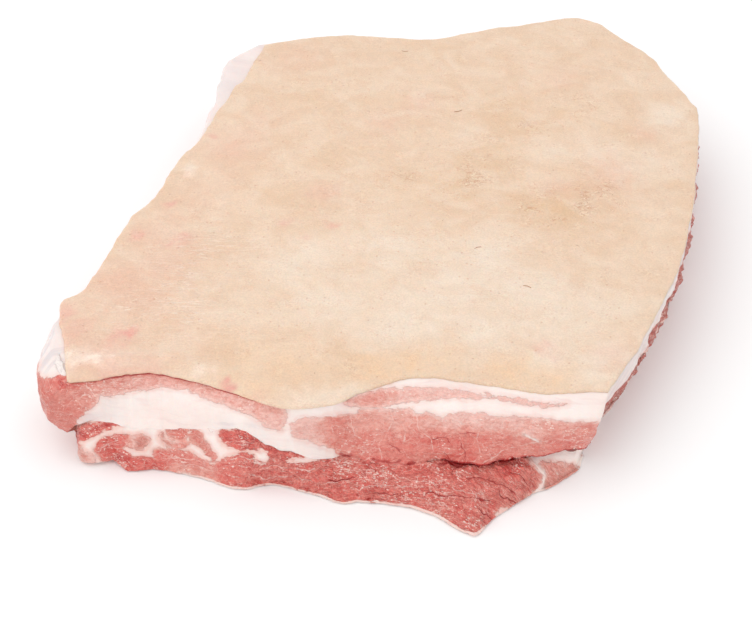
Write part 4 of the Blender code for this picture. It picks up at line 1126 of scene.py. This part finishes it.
def build_meat_material():
    """Cut meat: white fat and red lean that part where the lean value is zero, both moist."""
    material, tree, shader, vector = new_material("meat_cut")
    lean, red, rough, fleck_glint_crowd, dull, pearl, thread, crease = (attribute(tree, name) for name in (
        "lean", "redness", "coarse", "flecks", "dull", "pearl", "thread", "crease"))
    fibre = attribute(tree, "grain", "Vector")
    broad, fine = mottle(vector, 55.0, 260.0)
    bead, bead_edge = flesh_grain(fibre, 1000.0)

    # The line between fat and lean strays by small rags, long streaks and wide bays.
    rags = remap(cloud_noise(fibre, 520.0, 3.0, 0.6, 0.3, (0.4, 1.0, 1.0)), 0.25, 0.75, -0.5, 0.5)
    streaks = remap(cloud_noise(fibre, 300.0, 4.0, 0.6, 0.8, (0.2, 1.0, 1.0)), 0.3, 0.7, -1.0, 1.2)
    bays = remap(cloud_noise(vector, 210.0, 3.0), 0.25, 0.75, -1.0, 1.0)
    stray = rags * remap(rough, 0.2, 0.7, 0.9, 1.5) + streaks * remap(rough, 0.2, 0.6, 0.4, 1.1)
    stray = stray + bays * remap(rough, 0.2, 0.7, 0.5, 0.9)
    mask = remap((lean + stray) / remap(rough, 0.2, 0.7, 0.45, 0.35), -1.0, 1.0)

    # Fat: greyer in lines and pearly places and, as painted shade, on the right side; pinker and frayed close
    # to the lean.
    fat = mix(broad, rgb(253, 240, 234), rgb(250, 231, 224))
    fat_lines = cloud_noise(fibre, 260.0, 4.0, 0.6, 0.5, (0.12, 1.0, 1.0))
    fat = mix(remap(fat_lines, 0.5, 0.7, 0.0, 0.4), fat, rgb(238, 210, 206))
    fat = mix(pearl * remap(fat_lines, 0.4, 0.6, 0.35, 1.0), fat, rgb(226, 214, 214))
    pinked = remap(lean, -3.2, 0.0, 0.0, 0.95) * remap(rough, 0.22, 0.3, 0.45, 1.0)
    fat = mix(pinked, fat, rgb(244, 202, 191))
    frayed = remap(lean, -2.6, 0.0) * remap(rags, 0.02, 0.2) * remap(rough, 0.3, 0.6, 0.15, 0.6)
    fat = mix(frayed, fat, rgb(228, 146, 134))

    # Lean: from pale pink to deep red, with a shade of its own for each bead, and paler at its edge; browner
    # in dull places and, as painted shade, on the right side.
    bead_shade = remap(bead, 0.0, 1.0, 0.1, -0.1) * remap(rough, 0.1, 0.9, 0.5, 1.0)
    blotches = remap(broad, 0.0, 1.0, -0.06, 0.06) + remap(fine, 0.0, 1.0, -0.06, 0.07) + bead_shade
    edge_pale = remap(lean, 2.6, 0.0) * remap(rough, 0.2, 1.0, 0.22, 0.04)
    ladder = node(tree, "ShaderNodeValToRGB", {"Fac": red - edge_pale + blotches})
    rungs = ladder.color_ramp.elements
    rungs[0].color, rungs[1].color = rgb(245, 200, 189), rgb(184, 46, 44)
    for place, tint in ((0.2, rgb(236, 168, 154)), (0.45, rgb(228, 137, 124)), (0.7, rgb(224, 108, 97))):
        rungs.new(place).color = tint
    flesh = brighten(mix(dull, ladder, rgb(176, 97, 84)), bead_shade * -0.9)

    # What lies in the lean: strands along the fibres, veins, the skins of its bundles, and creases, whose
    # dark red is painted shade.
    strands = cloud_noise(fibre, 330.0, 4.0, 0.6, 0.9, (0.14, 1.0, 1.0))
    veins = cloud_noise(vector, 190.0, 5.0, 0.6, 1.6)
    swirl = Wire(node(tree, "ShaderNodeTexNoise", {"Vector": vector, "Scale": 120.0, "Detail": 3.0}), "Color")
    push = node(tree, "ShaderNodeVectorMath", {0: swirl, 1: (0.014,) * 3}, operation="MULTIPLY")
    pushed = Wire(node(tree, "ShaderNodeVectorMath", {0: vector, 1: push}, operation="ADD"))
    web = remap(Wire(cells(pushed, 130.0, "DISTANCE_TO_EDGE"), "Distance"), 0.035, 0.0)
    bundle_edge = remap(Wire(cells(pushed, 230.0, "DISTANCE_TO_EDGE"), "Distance"), 0.1, 0.0)
    bundle_edge = bundle_edge * remap(broad, 0.7, 0.25, 0.05, 0.6) * remap(red, 0.12, 0.5, 0.05, 0.6)
    strand_line = line_where(strands, 0.53, 0.02) * remap(fleck_glint_crowd * fine, 0.0, 0.4, 0.3, 1.0)
    for mark, tint in ((bead_edge * remap(rough, 0.1, 1.0, 0.1, 0.3), rgb(208, 78, 70)),
                       (remap(strands, 0.46, 0.34) * (rough * 0.36), rgb(206, 70, 62)),
                       (strand_line, rgb(248, 202, 190)),
                       (line_where(veins, 0.5, 0.02) * 0.4, rgb(243, 192, 180)),
                       (web * remap(fine, 0.3, 0.7, 0.05, 0.65), rgb(246, 200, 187)),
                       (bundle_edge, rgb(206, 84, 76))):
        flesh = mix(mark, flesh, tint)
    # Painted shade and glints: darker and brighter dots at the finest scale, for shade in tiny crevices and
    # wet glints.
    tone_shade_glint_speckle = remap(cloud_noise(fibre, 1900.0, 2.0, 0.6), 0.3, 0.7, -0.13, 0.16)
    flesh = brighten(flesh, tone_shade_glint_speckle * remap(rough, 0.2, 0.8, 0.35, 1.0))
    clumps = remap(cloud_noise(vector, 240.0, 3.0), 0.35, 0.65)
    # Tiny white specks: flecks of fat, and painted glints of wet highlight.
    for size, least, tint in ((1900.0, 0.1, rgb(255, 228, 217)), (1250.0, 0.03, rgb(250, 208, 196))):
        chance, small_edge = flesh_grain(fibre, size)
        chance = chance + fleck_glint_crowd * remap(clumps, 0.0, 1.0, least, least + 0.36)
        flesh = mix(remap(chance, 1.0, 1.05, 0.0, 0.8) * remap(small_edge, 0.9, 0.3), flesh, tint)
    thread_line = remap(abs(thread) / remap(fine, 0.1, 0.9, 0.15, 0.6), 1.0, 0.2, 0.0, 0.6)
    flesh = mix(thread_line * remap(bays, -0.6, 0.2, 0.35, 1.0), flesh, rgb(250, 216, 205))
    crease_shade_and_marks = remap(abs(crease) / remap(fine, 0.0, 1.0, 0.25, 0.75), 1.0, 0.2)
    crease_shade_and_marks = crease_shade_and_marks * remap(rough, 0.2, 0.7, 0.68, 0.85)

    mounds = (1.0 - bead_edge) * remap(rough, 0.1, 1.0, 0.3, 1.0)
    height = (fine * 0.6 + (strands + mounds)) * remap(mask, 0.0, 1.0, 0.2, 1.0)
    # The dark red laid along creases, cracks, the cleft and under the rind is painted shade; a few marks
    # above the top muscle are dark flecks.
    set_shader(shader, {"Base Color": mix(crease_shade_and_marks, mix(mask, fat, flesh), rgb(168, 28, 28)),
                        "Normal": bump(height, 0.8, 0.0007),
                        "Roughness": remap(broad, 0.0, 1.0, 0.3, 0.44) + remap(mask, 0.0, 1.0, 0.08, -0.04),
                        "Specular IOR Level": 0.35, "Coat Weight": 0.1, "Coat Roughness": 0.15,
                        "Subsurface Weight": 0.15, "Subsurface Radius": (1.0, 0.42, 0.3),
                        "Subsurface Scale": 0.003})
    return material


meat.data.materials.append(build_meat_material())
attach(meat, "root")
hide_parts("pork_belly")

# ----------------------------------------------------------------------------------------------
# Fat tag. A torn shred of back fat that hangs over the front at the slab's left corner.
# ----------------------------------------------------------------------------------------------
TAG_LINE = [(-17.75, -12.5, 5), (-17.62, -13.2, 5.06), (-17.36, -13.85, 5.02), (-17.2, -14.3, 4.84),
    (-17.08, -14.5, 4.62)]
TAG_WIDTHS = (0.05, 0.2, 0.23, 0.15, 0.04)
tag_places = np.linspace(0.0, 4.0, 25)
tag_turns = np.linspace(0.0, 2.0 * math.pi, 14, endpoint=False)
across = np.outer(np.cos(tag_turns), (0.96, -0.28, 0.0))
through = np.outer(np.sin(tag_turns), (0.18, 0.6, 0.4))
tag_rows = []
for place, width in zip(curve_through(np.arange(5.0), np.array(TAG_LINE), tag_places),
                        np.interp(tag_places, np.arange(5.0), TAG_WIDTHS)):
    tatters = 0.03 * lumps(place + 0.4 * across, 0.14, 2)[:, None]
    tag_rows.append(place + width * (across + 0.45 * through) + tatters)
tag_rows = np.array(tag_rows)
fat_tag = domed_piece("fat_tag", tag_rows, tuple(tag_rows[0].mean(axis=0)), tuple(tag_rows[-1].mean(axis=0)))
tag_finish, _, tag_shader, tag_vector = new_material("fat_torn")
tag_mottle = mottle(tag_vector, 200.0, 900.0)[1]
set_shader(tag_shader, {"Base Color": mix(tag_mottle, rgb(252, 243, 236), rgb(238, 224, 220)),
                        "Roughness": 0.4})
fat_tag.data.materials.append(tag_finish)
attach(fat_tag, "root")
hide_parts("pork_belly")

# ----------------------------------------------------------------------------------------------
# Rib side. The flat face the slab lies on: a thin white membrane over the meat between the marks
# where the ribs were lifted out.
# ----------------------------------------------------------------------------------------------
RIB_STEP = 3.1              # from one rib's mark to the next
RIB_WAY = (math.cos(0.35), math.sin(0.35))      # the direction square to the ribs
rib_rim = Rim((60, 60, 40, 60), (1.0, 1.0, 1.0, 1.0))
rib_edge = rib_rim.at - 1.2 * rib_rim.round_away
rib_rows = []
for share, height in ((0.02, 1.2), (0.97, 1.2), (1.0, 1.1), (1.0, 0.1)):
    rib_rows.append(flat_to_3d(MIDDLE + (rib_edge - MIDDLE) * share, height))
for share in np.linspace(1.0, 0.02, 60):
    ring = MIDDLE + (rib_edge - MIDDLE) * share
    groove = 0.1 * ramp(np.cos(ring @ RIB_WAY * 2.0 * math.pi / RIB_STEP), 0.35, 0.9) * ramp(share, 1.0, 0.9)
    rough = 0.02 * (1.0 + lumps(flat_to_3d(ring), 1.6, 2, 61.0))
    rib_rows.append(flat_to_3d(ring, 0.025 + np.maximum(groove + rough, 0.0)))
rib_rows = np.array(rib_rows)
rib_ends = [(*MIDDLE, 1.2), (*MIDDLE, 0.03)]
rib_side = domed_piece("rib_side", rib_rows, *rib_ends)
rib_points = rib_rows.reshape(-1, 3)
stripe = np.cos(rib_points[:, :2] @ RIB_WAY * 2.0 * math.pi / RIB_STEP)
rib_lean = np.clip(0.25 * (0.2 - stripe) + 0.12 * lumps(rib_points, 1.5, 2, 65.0), -0.5, 0.5)
even = np.ones(len(rib_points))
keep_values(rib_side, lean=10.0 * rib_lean, redness=0.5 * even, coarse=0.4 * even, flecks=0.2 * even,
            pearl=0.0 * even, dull=0.0 * even, thread=5.0 * even, crease=5.0 * even)
keep_grain(rib_side, np.vstack([rib_points, rib_ends]))
rib_side.data.materials.append(meat.data.materials[0])
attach(rib_side, "root")
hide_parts("pork_belly")

# ----------------------------------------------------------------------------------------------
# Studio. A plain white table, one large soft light from the upper left, and pale light all round.
# Nothing here is part of the slab.
# ----------------------------------------------------------------------------------------------
table_mesh = bpy.data.meshes.new("table_top")
table_mesh.from_pydata([(-3, -3, 0), (3, -3, 0), (3, 3, 0), (-3, 3, 0)], [], [(0, 1, 2, 3)])
table_top = bpy.data.objects.new("table_top", table_mesh)
bpy.context.scene.collection.objects.link(table_top)
table_finish, _, table_shader, _ = new_material("table_white")
set_shader(table_shader, {"Base Color": (0.97, 0.97, 0.97, 1.0), "Roughness": 0.8})
table_mesh.materials.append(table_finish)

lamp = bpy.data.lights.new("key_light", "AREA")
lamp.size = 1.8
lamp.energy = 8.0
key_light = bpy.data.objects.new("key_light", lamp)
key_light.location = (-1.0, -0.2, 1.7)
key_light.rotation_euler = (-key_light.location).to_track_quat("-Z", "Y").to_euler()
bpy.context.scene.collection.objects.link(key_light)
world = bpy.data.worlds.new("studio_white")
world.use_nodes = True
set_shader(world.node_tree.nodes["Background"], {"Color": (1.0, 1.0, 1.0, 1.0), "Strength": 1.0})
bpy.context.scene.world = world
bpy.context.scene.view_settings.view_transform = "Standard"

AIM = Vector((-0.0102, -0.0956, 0.052))
ELEVATION = math.radians(43.0)
DISTANCE = 0.863
camera = bpy.data.objects.new("camera", bpy.data.cameras.new("camera"))
camera.location = AIM + DISTANCE * Vector((0.0, -math.cos(ELEVATION), math.sin(ELEVATION)))
camera.rotation_euler = (math.radians(90.0) - ELEVATION, 0.0, 0.0)
camera.data.sensor_width = 36.0
camera.data.lens = 76.6
bpy.context.scene.collection.objects.link(camera)
bpy.context.scene.camera = camera
